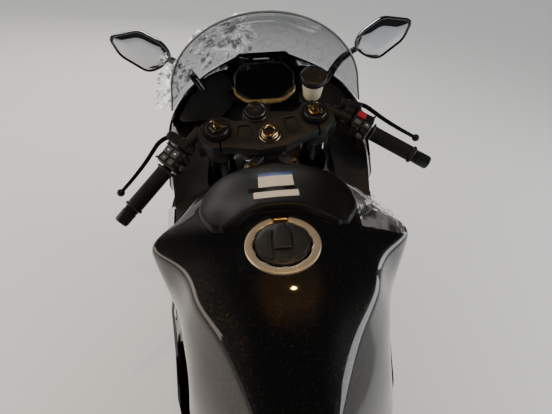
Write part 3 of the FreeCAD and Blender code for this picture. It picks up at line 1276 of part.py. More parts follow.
def build():
    """Draws every piece, parks the bike and writes one file for each node."""
    wheels()
    fork()
    bar_controls()
    front_guard_and_brakes()
    frame()
    engine()
    cooling()
    exhaust()
    swingarm()
    chain_loop()
    tank()
    upper_cowl()
    fairings()
    tail()
    side_stand()
    mirrors()
    dash()
    cockpit_panels()
    rearsets()
    rear_brake_and_guard()
    brake_hoses()
    park = parked_placement()
    steer = steer_turn()
    parked = {}
    extent = FreeCAD.BoundBox()
    for name, (shape, body, steered) in nodes.items():
        print(name, body, shape.isValid(), len(shape.Solids), round(shape.Volume / 1000))
        moved = shape.copy()
        if steered:
            moved.Placement = steer.multiply(moved.Placement)
        moved.Placement = park.multiply(moved.Placement)
        parked[name] = moved
        for point in moved.tessellate(1.0)[0]:
            extent.add(point)
    centre = Vector(-extent.Center.x, -extent.Center.y, 0)
    os.makedirs("parts", exist_ok=True)
    for name, moved in parked.items():
        moved.translate(centre)
        moved.exportStep("parts/" + name + ".step")
    park = Placement(centre, Rotation()).multiply(park)
    print("parked pose", tuple(park.Base), park.Rotation.Q)


build()
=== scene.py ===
"""Dresses the parked sport bike: paint, metal, rubber and the small forms that the solids leave out."""

import json
import math

import bmesh
import bpy
import numpy as np
from mathutils import Matrix


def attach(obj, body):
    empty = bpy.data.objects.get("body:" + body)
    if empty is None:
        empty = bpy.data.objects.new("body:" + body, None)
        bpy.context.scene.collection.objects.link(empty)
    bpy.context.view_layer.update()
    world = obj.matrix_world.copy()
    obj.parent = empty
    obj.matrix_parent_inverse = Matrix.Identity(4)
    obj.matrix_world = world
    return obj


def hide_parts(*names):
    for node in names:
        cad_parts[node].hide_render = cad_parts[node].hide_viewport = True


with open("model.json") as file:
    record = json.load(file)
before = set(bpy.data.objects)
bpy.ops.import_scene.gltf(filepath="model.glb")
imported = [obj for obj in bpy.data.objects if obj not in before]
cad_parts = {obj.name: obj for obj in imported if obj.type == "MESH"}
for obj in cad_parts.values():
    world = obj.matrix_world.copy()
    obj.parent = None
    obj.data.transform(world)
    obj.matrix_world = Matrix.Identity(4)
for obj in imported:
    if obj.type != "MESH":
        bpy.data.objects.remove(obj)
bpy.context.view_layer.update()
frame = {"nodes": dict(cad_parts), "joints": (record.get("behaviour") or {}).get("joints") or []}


# The parked bike
# It leans on its side stand with the bars turned a little, so every size below is given on the
# upright bike, or on the straight steering, in millimetres, and is turned into its parked place here.

joints = {joint["name"]: joint for joint in frame["joints"]}
rear_axle = np.array(joints["rear_wheel_spin"]["pos_m"])
bike_left = np.array(joints["rear_wheel_spin"]["axis"])
steer_up = np.array(joints["steering"]["axis"])
front_axle = np.array(joints["front_wheel_spin"]["pos_m"])
bars_left = np.array(joints["front_wheel_spin"]["axis"])
bars_ahead = np.cross(bars_left, steer_up)
RAKE = math.radians(24.5)
REAR_AXLE_HEIGHT = 0.315
FORK_OFFSET = 0.031
bike_ahead = math.cos(RAKE) * np.cross(bike_left, steer_up) - math.sin(RAKE) * steer_up
bike_up = math.sin(RAKE) * np.cross(bike_left, steer_up) + math.cos(RAKE) * steer_up


def upright(points):
    """Parked place of points on the upright bike: x forward and y left of the rear axle, z above the
    ground, each carried along the parked bike's own direction and added to the rear axle's place."""
    p = np.asarray(points, float) / 1000.0
    return (rear_axle + p[..., 0:1] * bike_ahead + p[..., 1:2] * bike_left
            + (p[..., 2:3] - REAR_AXLE_HEIGHT) * bike_up)


def on_bars(points):
    """Parked place of points on the steering: a forward of its axis, b left of it, s up along it from
    the front axle's level, each carried along the turned steering's own direction."""
    p = np.asarray(points, float) / 1000.0
    return (front_axle + (p[..., 0:1] - FORK_OFFSET) * bars_ahead + p[..., 1:2] * bars_left
            + p[..., 2:3] * steer_up)


# Camera
# It looks down over the back of the tank at the bars, from where a rider stands to get on.

CAMERA_PLACE = (356.0, 22.6, 1318.4)
CAMERA_YAW = -0.038
CAMERA_DOWN = 0.68
CAMERA_ROLL = -0.045
CAMERA_LENS = 26.89


def unit(vectors):
    """Vectors divided by their own lengths."""
    vectors = np.asarray(vectors, float)
    return vectors / np.linalg.norm(vectors, axis=-1, keepdims=True)


def linked(name, data):
    """New object in the scene."""
    made = bpy.data.objects.new(name, data)
    bpy.context.scene.collection.objects.link(made)
    return made


def aimed(name, data, axes, place):
    """New object whose own x, y and z point along the three axes, at its place."""
    made = linked(name, data)
    matrix = np.eye(4)
    matrix[:3, :3] = np.transpose(axes)
    matrix[:3, 3] = place
    made.matrix_world = Matrix(matrix.tolist())
    return made


level_part = math.cos(CAMERA_DOWN)
look = np.array([level_part * math.cos(CAMERA_YAW), level_part * math.sin(CAMERA_YAW),
                 -math.sin(CAMERA_DOWN)])
level = unit(np.cross(look, [0.0, 0.0, 1.0]))
over = np.cross(level, look)
right = level * math.cos(CAMERA_ROLL) + over * math.sin(CAMERA_ROLL)
above = over * math.cos(CAMERA_ROLL) - level * math.sin(CAMERA_ROLL)
camera_axes = np.stack([right, above, -look]) @ np.stack([bike_ahead, bike_left, bike_up])
camera = aimed("camera", bpy.data.cameras.new("camera"), camera_axes, upright(CAMERA_PLACE))
camera.data.lens = CAMERA_LENS
camera.data.clip_start = 0.05
bpy.context.scene.camera = camera


# Studio floor and light
# A plain pale floor under five soft lights: a long one at each side, one ahead, one behind on the left,
# and a small warm one above whose reflection lies on the tank.

FLOOR_HALF = 16.0
WALL_LIGHT = 0.78
WALL_MIRRORED = 0.020
# Each light: name, place, point that it faces, width, height, watts, colour
STUDIO_LIGHTS = [
    ("back_left", (-0.9, 3.1, 3.0), (0.2, 0.0, 0.7), 1.4, 1.4, 46.0, (1.0, 0.90, 0.78)),
    ("left_side", (0.3, 3.4, 1.3), (0.1, 0.0, 0.6), 3.2, 1.0, 34.0, (1.0, 0.86, 0.72)),
    ("right_side", (-0.3, -3.4, 1.5), (0.1, 0.0, 0.6), 3.2, 1.3, 60.0, (0.93, 0.97, 1.0)),
    ("front", (3.6, 0.9, 2.0), (0.4, 0.0, 0.7), 2.2, 1.0, 40.0, (1.0, 0.98, 0.95)),
    ("warm_spot", (0.09, 0.16, 3.0), (0.0, 0.0, 0.9), 0.07, 0.07, 8.0, (1.0, 0.58, 0.20)),
]


def fed(node, inputs):
    """The node with its named inputs filled: the socket of another node is linked, a value is put in."""
    for name, value in inputs.items():
        if isinstance(value, bpy.types.NodeSocket):
            node.id_data.links.new(value, node.inputs[name])
        else:
            node.inputs[name].default_value = value
    return node


def grown(tree, kind, inputs, **settings):
    """New shader node of the kind, given its settings and then its inputs."""
    made = tree.nodes.new("ShaderNode" + kind)
    for name, value in settings.items():
        setattr(made, name, value)
    return fed(made, inputs)


def shader_of(material):
    """The material's surface shader."""
    return material.node_tree.nodes["Principled BSDF"]


floor_mesh = bpy.data.meshes.new("floor")
floor_mesh.from_pydata([(x * FLOOR_HALF, y * FLOOR_HALF, 0) for x, y in ((-1, -1), (1, -1), (1, 1), (-1, 1))],
                       [], [(0, 1, 2, 3)])
floor = linked("floor", floor_mesh)
floor_paint = bpy.data.materials.new("floor_paint")
floor_paint.use_nodes = True
fed(shader_of(floor_paint), {"Base Color": (0.80, 0.785, 0.76, 1), "Roughness": 0.6})
floor_mesh.materials.append(floor_paint)

# The studio's walls are dark where gloss paint mirrors them, and light the floor evenly
world = bpy.data.worlds.new("studio")
world.use_nodes = True
ray = grown(world.node_tree, "LightPath", {})
dim = grown(world.node_tree, "MapRange", {"To Min": WALL_LIGHT, "To Max": WALL_MIRRORED,
                                          "Value": ray.outputs["Is Glossy Ray"]})
fed(world.node_tree.nodes["Background"], {"Color": (0.86, 0.88, 0.90, 1), "Strength": dim.outputs["Result"]})
bpy.context.scene.world = world

for name, place, aim, wide, high, watts, colour in STUDIO_LIGHTS:
    light = bpy.data.lights.new(name, "AREA")
    light.shape = "RECTANGLE"
    light.size = wide
    light.size_y = high
    light.energy = watts
    light.color = colour
    back = unit(np.array(place) - np.array(aim))
    side = unit(np.cross([0.0, 0.0, 1.0], back))
    lamp = aimed(name, light, [side, np.cross(back, side), back], place)
    lamp.visible_glossy = name != "back_left"


# Finishes that whole castings, panels and tubes share
# Paint, plating and moulded plastic: each has its own fine grain, patches of sheen and rounded edges.

def coat(name, colour, patch, rough, metal=0.0, patch_scale=30.0, grain_scale=900.0, grain=0.1,
         depth=0.0002, lacquer=0.0, edge=0.0008, shine=0.5):
    """Material whose colour and roughness drift between two values by one noise, and whose surface is
    lifted by a finer noise; its corners are rounded in the shading by edge metres. A colour is three
    values, or one for a grey."""
    made = bpy.data.materials.new(name)
    made.use_nodes = True
    tree = made.node_tree
    place = grown(tree, "TexCoord", {}).outputs["Object"]
    drift = grown(tree, "TexNoise", {"Vector": place, "Scale": patch_scale, "Detail": 5.0}).outputs["Fac"]
    one, other = [(*np.broadcast_to(value, 3).tolist(), 1) for value in (colour, patch)]
    tint = grown(tree, "Mix", {"A": one, "B": other, "Factor": drift}, data_type="RGBA")
    gloss = grown(tree, "MapRange", {"From Min": 0.3, "From Max": 0.7, "To Min": rough[0], "To Max": rough[1],
                                     "Value": drift})
    fine = grown(tree, "TexNoise", {"Vector": place, "Scale": grain_scale, "Detail": 3.0})
    lift = grown(tree, "Bump", {"Strength": grain, "Distance": depth, "Height": fine.outputs["Fac"]})
    if edge:
        corner = grown(tree, "Bevel", {"Radius": edge}, samples=4)
        fed(lift, {"Normal": corner.outputs["Normal"]})
    fed(shader_of(made), {"Metallic": metal, "Coat Weight": lacquer, "Coat Roughness": 0.04,
                          "Specular IOR Level": shine, "Base Color": tint.outputs["Result"],
                          "Roughness": gloss.outputs["Result"], "Normal": lift.outputs["Normal"]})
    return made


cast_black = coat("cast_black", (0.0100, 0.0095, 0.0090), (0.0145, 0.0136, 0.0128), rough=(0.42, 0.55),
                  grain=0.35, depth=0.0004, grain_scale=1400, shine=0.35)
frame_black = coat("frame_black", (0.016, 0.016, 0.017), (0.024, 0.023, 0.022), rough=(0.38, 0.5), grain=0.2)
fork_black = coat("fork_black", 0.008, (0.014, 0.013, 0.012), metal=0.3, rough=(0.18, 0.28))
gloss_black = coat("gloss_black", (0.004, 0.004, 0.005), (0.006, 0.006, 0.007), rough=(0.06, 0.11),
                   lacquer=1.0, grain=0.03, depth=0.0001, grain_scale=2200)
plastic_black = coat("plastic_black", 0.012, 0.02, rough=(0.42, 0.6), grain=0.5, depth=0.0003,
                     grain_scale=1800)
engine_black = coat("engine_black", (0.02, 0.02, 0.021), (0.034, 0.033, 0.032), rough=(0.4, 0.6), grain=0.5,
                    depth=0.0005, grain_scale=700)
dark_steel = coat("dark_steel", (0.14, 0.13, 0.125), (0.22, 0.2, 0.18), metal=1.0, rough=(0.25, 0.42))
disc_steel = coat("disc_steel", (0.42, 0.41, 0.39), (0.55, 0.53, 0.5), metal=1.0, rough=(0.22, 0.35))
bright_steel = coat("bright_steel", (0.72, 0.66, 0.55), (0.8, 0.78, 0.74), metal=1.0, rough=(0.08, 0.18))
exhaust_steel = coat("exhaust_steel", (0.36, 0.31, 0.25), (0.5, 0.45, 0.38), metal=1.0, rough=(0.25, 0.4))
wheel_black = coat("wheel_black", (0.009, 0.009, 0.01), 0.014, rough=(0.16, 0.24), lacquer=0.5)
rubber_black = coat("rubber_black", 0.012, 0.02, rough=(0.5, 0.68), grain=0.3)
radiator_black = coat("radiator_black", 0.02, 0.05, metal=0.6, rough=(0.4, 0.6))
tyre_rubber = coat("tyre_rubber", 0.014, 0.026, rough=(0.62, 0.8), grain=0.6)
seat_vinyl = coat("seat_vinyl", 0.012, 0.018, rough=(0.5, 0.62), grain=0.8, depth=0.0006, grain_scale=700)
lens_red = coat("lens_red", (0.28, 0.008, 0.008), (0.35, 0.012, 0.01), rough=(0.08, 0.12), lacquer=1.0)


# Surfaces worked out point by point
# Panels, castings and turned parts all come from grids of points, which this section turns into meshes.

THE_SAME = 1e-3


def lengths_along(line):
    """Length of the line up to each of its points."""
    return np.concatenate([[0.0], np.cumsum(np.linalg.norm(np.diff(line, axis=0), axis=1))])


def skin(grid, capped):
    """Points, faces and surface lengths of a grid: each face joins four neighbours, and the last column
    is joined to the first. Capped, the first and the last row are closed with one face each; if not,
    they are joined too."""
    rows, columns = grid.shape[:2]
    index = np.arange(rows * columns).reshape(rows, columns)
    wide = np.hstack([index, index[:, :1]])
    full = wide if capped else np.vstack([wide, wide[:1]])
    faces = np.stack([full[:-1, :-1], full[:-1, 1:], full[1:, 1:], full[1:, :-1]], -1).reshape(-1, 4)
    flat = grid.reshape(-1, 3)
    u, v = lengths_along(flat[full[rows // 2]]), lengths_along(flat[full[:, columns // 2]])
    uv = np.stack(np.meshgrid(u, v), -1)
    corners = np.stack([uv[:-1, :-1], uv[:-1, 1:], uv[1:, 1:], uv[1:, :-1]], 2).reshape(-1, 2)
    lids = []
    if capped:
        lids = [index[0, ::-1].tolist(), index[-1].tolist()]
        corners = np.vstack([corners, uv[0, :columns][::-1], uv[-1, :columns]])
    return flat, faces.tolist() + lids, corners


def closed(rows, place=upright, *more):
    """Skin, in its parked place, of rows that run round a part and are closed at its two ends."""
    return skin(place(rows, *more), capped=True)


def looped(rows, place=upright):
    """Skin, in its parked place, of a grid that runs round in both directions."""
    return skin(place(rows), capped=False)


def slab(top, foot):
    """Skin of a thin wall: its top grid, its foot grid, and the four narrow sides between them."""
    return closed(np.concatenate([top, foot[::-1]]).swapaxes(0, 1))


def cleaned(mesh, double=0.0, flat=0.0):
    """Merges the mesh's points within double metres, turns its faces outward, and joins faces that lie
    within flat degrees of one plane."""
    shape = bmesh.new()
    shape.from_mesh(mesh)
    if double:
        bmesh.ops.remove_doubles(shape, verts=shape.verts, dist=double)
    bmesh.ops.recalc_face_normals(shape, faces=shape.faces)
    if flat:
        bmesh.ops.dissolve_limit(shape, angle_limit=math.radians(flat), verts=shape.verts, edges=shape.edges)
    shape.to_mesh(mesh)
    shape.free()


def piece(name, parts, finish, body, sharp=38.0, stands_for=()):
    """One object from several skins; the finish is one material, or a list with one for each skin."""
    coats = finish if isinstance(finish, list) else [finish] * len(parts)
    unique = list(dict.fromkeys(coats))
    faces, order = [], []
    start = 0
    for (points, own_faces, _), paint in zip(parts, coats):
        faces += [[i + start for i in face] for face in own_faces]
        order += [unique.index(paint)] * len(own_faces)
        start += len(points)
    mesh = bpy.data.meshes.new(name)
    mesh.from_pydata(np.vstack([points for points, _, _ in parts]).tolist(), [], faces)
    lengths = mesh.uv_layers.new(name="lengths")
    lengths.data.foreach_set("uv", np.vstack([uv for _, _, uv in parts]).astype(np.float32).ravel())
    for paint in unique:
        mesh.materials.append(paint)
    mesh.polygons.foreach_set("material_index", np.array(order, np.int32))
    cleaned(mesh)
    mesh.shade_smooth()
    mesh.set_sharp_from_angle(angle=math.radians(sharp))
    made = linked(name, mesh)
    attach(made, body)
    if stands_for:
        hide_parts(*stands_for)
    return made


def modified(made, kind, **settings):
    """The object's mesh after a modifier with these settings, which is then taken off."""
    modifier = made.modifiers.new(kind.lower(), kind)
    for name, value in settings.items():
        setattr(modifier, name, value)
    bpy.context.view_layer.update()
    shaped = bpy.data.meshes.new_from_object(made.evaluated_get(bpy.context.evaluated_depsgraph_get()))
    made.modifiers.clear()
    made.data = shaped
    return shaped


def eased(knots, values, at):
    """Smooth curve through the values at the knots: on each span a cubic whose slopes at both ends are
    those of the neighbouring values."""
    knots = np.asarray(knots, float)
    values = np.asarray(values, float)
    at = np.clip(np.asarray(at, float), knots[0], knots[-1])
    slopes = np.gradient(values, knots, axis=0)
    span = np.clip(np.searchsorted(knots, at, side="right") - 1, 0, len(knots) - 2)
    width = (knots[span + 1] - knots[span]).reshape(-1, *[1] * (values.ndim - 1))
    t = ((at - knots[span]).reshape(-1, *[1] * (values.ndim - 1))) / width
    a, b = values[span], values[span + 1]
    m, n = slopes[span] * width, slopes[span + 1] * width
    return (a * (2 * t ** 3 - 3 * t ** 2 + 1) + m * (t ** 3 - 2 * t ** 2 + t)
            + b * (3 * t ** 2 - 2 * t ** 3) + n * (t ** 3 - t ** 2))


def through(rows, count):
    """Rows read smoothly at count even steps from the first of them to the last."""
    rows = np.array(rows, float)
    return eased(np.arange(len(rows)), rows, np.linspace(0, len(rows) - 1, count))


def evened(line, count):
    """Smooth line through the points of another, with count points spaced evenly along it."""
    line = np.asarray(line, float)
    along = lengths_along(line)
    return eased(along, line, np.linspace(0, along[-1], count))


def softened(corners, reach, steps, open_ended=False):
    """Line through corners whose every corner is a bend: a curve from reach before the corner to reach
    after it, weighted (1 - t)^2, 2t(1 - t) and t^2. Corners may be a stack of lines."""
    corners = np.asarray(corners, float)
    reach = np.broadcast_to(np.asarray(reach, float), corners.shape[:-1])[..., None]
    before = np.roll(corners, 1, axis=-2) - corners
    after = np.roll(corners, -1, axis=-2) - corners
    long_before = np.linalg.norm(before, axis=-1, keepdims=True) + 1e-9
    long_after = np.linalg.norm(after, axis=-1, keepdims=True) + 1e-9
    first = corners + before / long_before * np.minimum(reach, 0.49 * long_before)
    last = corners + after / long_after * np.minimum(reach, 0.49 * long_after)
    if open_ended:
        first[..., 0, :] = corners[..., 0, :]
        last[..., 0, :] = corners[..., 0, :]
        first[..., -1, :] = corners[..., -1, :]
        last[..., -1, :] = corners[..., -1, :]
    t = np.linspace(0, 1, steps)[:, None]
    bent = ((1 - t) ** 2 * first[..., None, :] + 2 * t * (1 - t) * corners[..., None, :]
            + t ** 2 * last[..., None, :])
    return bent.reshape(*corners.shape[:-2], -1, corners.shape[-1])


def undoubled(line):
    """Closed line without the points that lie on the one before them."""
    return line[np.linalg.norm(line - np.roll(line, 1, axis=0), axis=1) > THE_SAME]


def raised(flat, height):
    """Points (x, y) with their height as a third value."""
    return np.concatenate([flat, np.broadcast_to(height, flat.shape[:-1])[..., None]], -1)


def stood(x, flat):
    """Points (y, z) with their x as a first value."""
    return np.roll(raised(flat, x), 1, axis=-1)


def turned(profile, foot, way, count, waves=None):
    """Rings of a turned part: each profile pair (radius, height) is carried round the axis through foot,
    as foot + height * way + radius * (cos * side + sin * front)."""
    profile = np.asarray(profile, float)
    way = unit(way)
    side = unit(np.cross(way, [0.0, 1.0, 0.0]) if abs(way[1]) < 0.9 else np.cross(way, [1.0, 0.0, 0.0]))
    front = np.cross(way, side)
    angle = np.linspace(0, 2 * np.pi, count, endpoint=False)
    radius = np.repeat(profile[:, :1], count, axis=1)
    if waves is not None:
        radius = radius + waves(angle)[None, :] * profile[:, 2:3]
    round_ = np.cos(angle)[:, None] * side + np.sin(angle)[:, None] * front
    return np.asarray(foot, float) + radius[..., None] * round_ + profile[:, 1][:, None, None] * way


def carried(path, outline, up=(0.0, 0.0, 1.0), swell=None):
    """Rows of an outline (p, q) set square to a path: p along the path's side and q along its lift,
    both worked out from the path's direction and up, and scaled by swell at each point."""
    path = np.asarray(path, float)
    outline = np.asarray(outline, float)
    ahead = unit(np.gradient(path, axis=0))
    side = unit(np.cross(ahead, up))
    lift = np.cross(side, ahead)
    size = np.ones(len(path)) if swell is None else np.asarray(swell, float)
    return (path[:, None] + (outline[None, :, :1] * side[:, None] + outline[None, :, 1:] * lift[:, None])
            * size[:, None, None])


def ring_of(radius, count):
    """Round outline of count points."""
    angle = np.linspace(0, 2 * np.pi, count, endpoint=False)
    return np.stack([radius * np.cos(angle), radius * np.sin(angle)], -1)


def plate(outline, low, high, edge, reach):
    """Rows of a flat plate in (x, y, z): its softened outline, drawn in along a quarter turn of radius
    edge at the top and at the foot."""
    line = undoubled(softened(outline, reach, 5))
    after = unit(np.roll(line, -1, axis=0) - line)
    before = unit(line - np.roll(line, 1, axis=0))
    tangent = unit(after + before)
    area = 0.5 * np.sum(line[:, 0] * np.roll(line[:, 1], -1) - np.roll(line[:, 0], -1) * line[:, 1])
    inward = np.stack([-tangent[:, 1], tangent[:, 0]], -1) * np.sign(area)
    bend = np.linspace(0, np.pi / 2, 5)
    insets = np.concatenate([edge * (1 - np.sin(bend)), edge * (1 - np.cos(bend))])
    heights = np.concatenate([low + edge * (1 - np.cos(bend)), high - edge * (1 - np.sin(bend))])
    return raised(line[None] + insets[:, None, None] * inward[None], heights[:, None])


def tube(points, radius, count, steps, swell=None):
    """Rows of a round bar along a smooth line through points, steps of them from point to point."""
    path = evened(points, steps * (len(points) - 1) + 1)
    ahead = unit(path[-1] - path[0])
    up = (0.0, 0.0, 1.0) if abs(ahead[2]) < 0.8 else (1.0, 0.0, 0.0)
    return carried(path, ring_of(radius, count), up, swell)


# Fuel tank
# Pressed steel, painted gloss black over a fine metal flake. Its top is a shallow dome that ends in a
# ridge on each side; the ridges spread into two flares beside the filler and close up towards the seat.

# Station x, then (half width, height) at the crown, ridge, flank and base
TANK_STATIONS = [
    (560, (18, 826), (44, 818), (70, 780), (92, 726)),
    (600, (30, 856), (60, 842), (104, 785), (132, 702)),
    (640, (40, 884), (80, 862), (130, 790), (152, 690)),
    (700, (55, 911), (120, 880), (150, 805), (160, 684)),
    (765, (70, 921), (150, 886), (172, 825), (160, 684)),
    (806, (85, 926), (195, 889), (194, 862), (164, 692)),
    (870, (90, 925), (160, 893), (170, 845), (162, 716)),
    (960, (80, 908), (122, 882), (140, 820), (118, 748)),
    (1012, (50, 884), (84, 866), (96, 815), (78, 766)),
]
CAP_CENTRE = np.array([765.0, 0.0, 921.0])
CAP_SLOPE = math.radians(4.0)
CAP_WAY = np.array([-math.sin(CAP_SLOPE), 0.0, math.cos(CAP_SLOPE)])
CAP_AHEAD = np.array([math.cos(CAP_SLOPE), 0.0, math.sin(CAP_SLOPE)])
RING_OUTER = 53.0
NECK_RADIUS = 30.0
# How far before each corner of a section its bend begins, from the crown to the foot
TANK_BENDS = np.array([0.0, 60.0, 11.0, 45.0, 10.0, 0.0])

tank_knots = np.array([row[0] for row in TANK_STATIONS], float)
tank_pairs = np.array([row[1:] for row in TANK_STATIONS], float)


def tank_sections(stations):
    """Half sections of the tank at the stations, from the middle of its top to the middle of its foot:
    the corner pairs eased along the bike, then softened, little at the ridge and much elsewhere."""
    pairs = eased(tank_knots, tank_pairs, stations)
    middle = np.zeros(len(pairs))
    crown = np.stack([middle, pairs[:, 0, 1] + 2.5], -1)[:, None]
    foot = np.stack([middle, pairs[:, 3, 1]], -1)[:, None]
    return softened(np.concatenate([crown, pairs, foot], 1), TANK_BENDS, 9, open_ended=True)[:, 8:-8]


def tank_height(x, y):
    """Height of the tank's top over (x, y): the sections read first along the bike, then across it."""
    stations = np.linspace(562, 1010, 113)
    half = tank_sections(stations)[:, :19]
    widths = np.linspace(0, 190, 96)
    table = np.stack([np.interp(widths, np.maximum.accumulate(row[:, 0] + np.arange(19) * 1e-6), row[:, 1])
                      for row in half])
    col = np.clip((np.asarray(x) - 562) / 4.0, 0, 111.99)
    rank = np.clip(np.abs(y) / 2.0, 0, 94.99)
    i, j = col.astype(int), rank.astype(int)
    p, q = col - i, rank - j
    return ((1 - p) * (1 - q) * table[i, j] + p * (1 - q) * table[i + 1, j]
            + (1 - p) * q * table[i, j + 1] + p * q * table[i + 1, j + 1])


def tank_paint():
    """Black paint under clear lacquer: fine flakes are small cells that tilt and glint, and the lacquer
    over them ripples very slightly."""
    made = coat("tank_black", (0.0020, 0.0022, 0.0026), (0.0034, 0.0036, 0.0040), rough=(0.20, 0.27),
                lacquer=1.0, grain=0.02, depth=0.0001, grain_scale=1500, patch_scale=9, edge=0, shine=0.12)
    tree = made.node_tree
    shader = shader_of(made)
    where = next(node for node in tree.nodes if node.type == "TEX_COORD")
    cells = grown(tree, "TexVoronoi", {"Scale": 2100.0, "Vector": where.outputs["Object"]})
    pick = grown(tree, "SeparateColor", {"Color": cells.outputs["Color"]})
    glint = grown(tree, "MapRange", {"From Min": 0.978, "From Max": 0.99, "Value": pick.outputs["Red"]})
    paint = shader.inputs["Base Color"].links[0].from_socket
    tint = grown(tree, "Mix", {"A": paint, "B": (0.34, 0.215, 0.078, 1), "Factor": glint.outputs["Result"]},
                 data_type="RGBA")
    tilt = grown(tree, "Bump", {"Strength": 0.30, "Distance": 0.0004, "Height": cells.outputs["Distance"]})
    fed(shader, {"Base Color": tint.outputs["Result"], "Metallic": glint.outputs["Result"],
                 "Normal": tilt.outputs["Normal"]})
    return made


tank_black = tank_paint()
tank_stations = np.concatenate([np.linspace(560, 690, 34), np.linspace(693, 860, 56),
                                np.linspace(863, 1012, 34)])
half = tank_sections(tank_stations)
whole = np.concatenate([half, half[:, -2:0:-1] * np.array([-1.0, 1.0])], 1)
fuel_tank = piece("tank_shell", [closed(stood(tank_stations[:, None], whole))], tank_black,
                  "chassis", sharp=60, stands_for=["fuel_tank"])
# The filler's hole is cut by a stepped plug: the ring's seat, then the neck
PLUG = [(0.2, -60.0), (NECK_RADIUS, -60.0), (NECK_RADIUS, -8.0), (RING_OUTER + 0.3, -8.0),
        (RING_OUTER + 0.3, 30.0), (0.2, 30.0)]
points, faces, _ = closed(turned(PLUG, CAP_CENTRE, CAP_WAY, 96))
plug = bpy.data.meshes.new("filler_plug")
plug.from_pydata(points.tolist(), [], faces)
cleaned(plug)
cutter = linked("filler_plug", plug)
modified(fuel_tank, "BOOLEAN", operation="DIFFERENCE", object=cutter, solver="EXACT")
bpy.data.objects.remove(cutter)


# Tank cover
# A crescent of matt moulded plastic, screwed over the front of the tank, that reaches back with a tip
# on each side of the filler. A narrow dark slot runs across it. Its two labels are left blank.

COVER_HIGH = 9.0
COVER_SUNK = 3.0
# Half of the outline seen from above: rear edge, tip, outer side, front
COVER_REAR = [(830, 0), (829, 20), (822, 38), (806, 62), (795, 82)]
COVER_FRONT = [(1004, 0), (1000, 24), (975, 62), (934, 104), (880, 124), (826, 116), (800, 100)]
COVER_ACROSS = 26
COVER_ROUND = 90
DISH_DEEP = 2.2
# Rear and front line of the cover where the labels and the slot lie
LABEL_FIELD = (829.5, 1004.0)
LABEL_SKEW = 0.035


def dish(share):
    """How far the cover is sunk at a share of the way from its rear line to its front line: a bell."""
    return DISH_DEEP * np.exp(-((share - 0.35) / 0.22) ** 2)


def mirrored_line(half, count):
    """Smooth line that runs in to the middle of the bike, and out again as its mirror image."""
    line = np.array(half, float)
    return evened(np.concatenate([line[::-1], line[1:] * np.array([1.0, -1.0])]), count)


def cover_grid():
    """The crescent: across it, from its rear line to its front line, and round it from tip to tip. It
    stands COVER_HIGH over the tank, dished a little in the middle, and rolls down to the paint along
    all its edges as a root of the distance."""
    rear = mirrored_line(COVER_REAR, COVER_ROUND)
    front = mirrored_line(COVER_FRONT, COVER_ROUND)
    share = 0.5 - 0.5 * np.cos(np.linspace(0, np.pi, COVER_ACROSS))[:, None]
    flat = rear * (1 - share)[..., None] + front * share[..., None]
    edge = np.minimum(share, 1 - share) * np.linalg.norm(front - rear, axis=1)
    tip = np.minimum(np.arange(COVER_ROUND), np.arange(COVER_ROUND)[::-1]) * 3.2
    rise = np.clip(np.minimum(edge, tip) / 9.0, 0, 1)
    rise = (1 - (1 - rise) ** 2.2) ** 0.5
    height = tank_height(flat[..., 0], flat[..., 1]) + rise * (COVER_HIGH - dish(share)) - (1 - rise) * 1.5
    return raised(flat, height)


def on_cover(x, y, lift):
    """Points (x, y) on the cover's dished top, raised by lift."""
    rear, front = LABEL_FIELD
    height = tank_height(x, y) + COVER_HIGH - dish((x - rear) / (front - rear)) + lift
    return np.stack([x, y, height], -1)


def label_paint(name, colour):
    """Printed film without its print: one pale colour with faint mottling."""
    return coat(name, colour, [c * 0.86 for c in colour], rough=(0.35, 0.5), grain=0.1, edge=0,
                patch_scale=160)


def draped_label(rows, columns, x_high, x_low, y_left, y_right):
    """Blank label that lies on the cover: a rectangle whose height follows the cover's own."""
    x, y = np.meshgrid(np.linspace(x_high, x_low, rows), np.linspace(y_left, y_right, columns),
                       indexing="ij")
    top = on_cover(x + (y_left - y) * LABEL_SKEW, y, 0.5)
    return slab(top, top - np.array([0.0, 0.0, 0.6]))


def stadium_on_cover(x_mid, y_left, y_right, half_width, profile):
    """Flat-sided oval on the cover: a line of which every point is moved out by a share of the half
    width, in the direction that turns once round it. The profile pairs each share with a height."""
    turn = np.linspace(0, 2 * np.pi, 48, endpoint=False)
    straight = np.where(np.cos(turn) >= 0, y_left - half_width, y_right + half_width)
    share, height = np.array(profile, float).T[:, :, None]
    x = x_mid + share * half_width * np.sin(turn)
    y = straight + share * half_width * np.cos(turn)
    return closed(on_cover(x + (y_left - y) * LABEL_SKEW, y, height))


cover_grey = coat("cover_grey", (0.0042, 0.0041, 0.0040), (0.0068, 0.0065, 0.0062), rough=(0.34, 0.46),
                  grain=0.5, depth=0.00025, grain_scale=2600, edge=0, shine=0.22)
cover = cover_grid()
cover_foot = raised(cover[..., :2], tank_height(cover[..., 0], cover[..., 1]) - COVER_SUNK)
piece("tank_cover_shell", [slab(cover, cover_foot)], cover_grey, "chassis",
      sharp=70, stands_for=["tank_cover"])

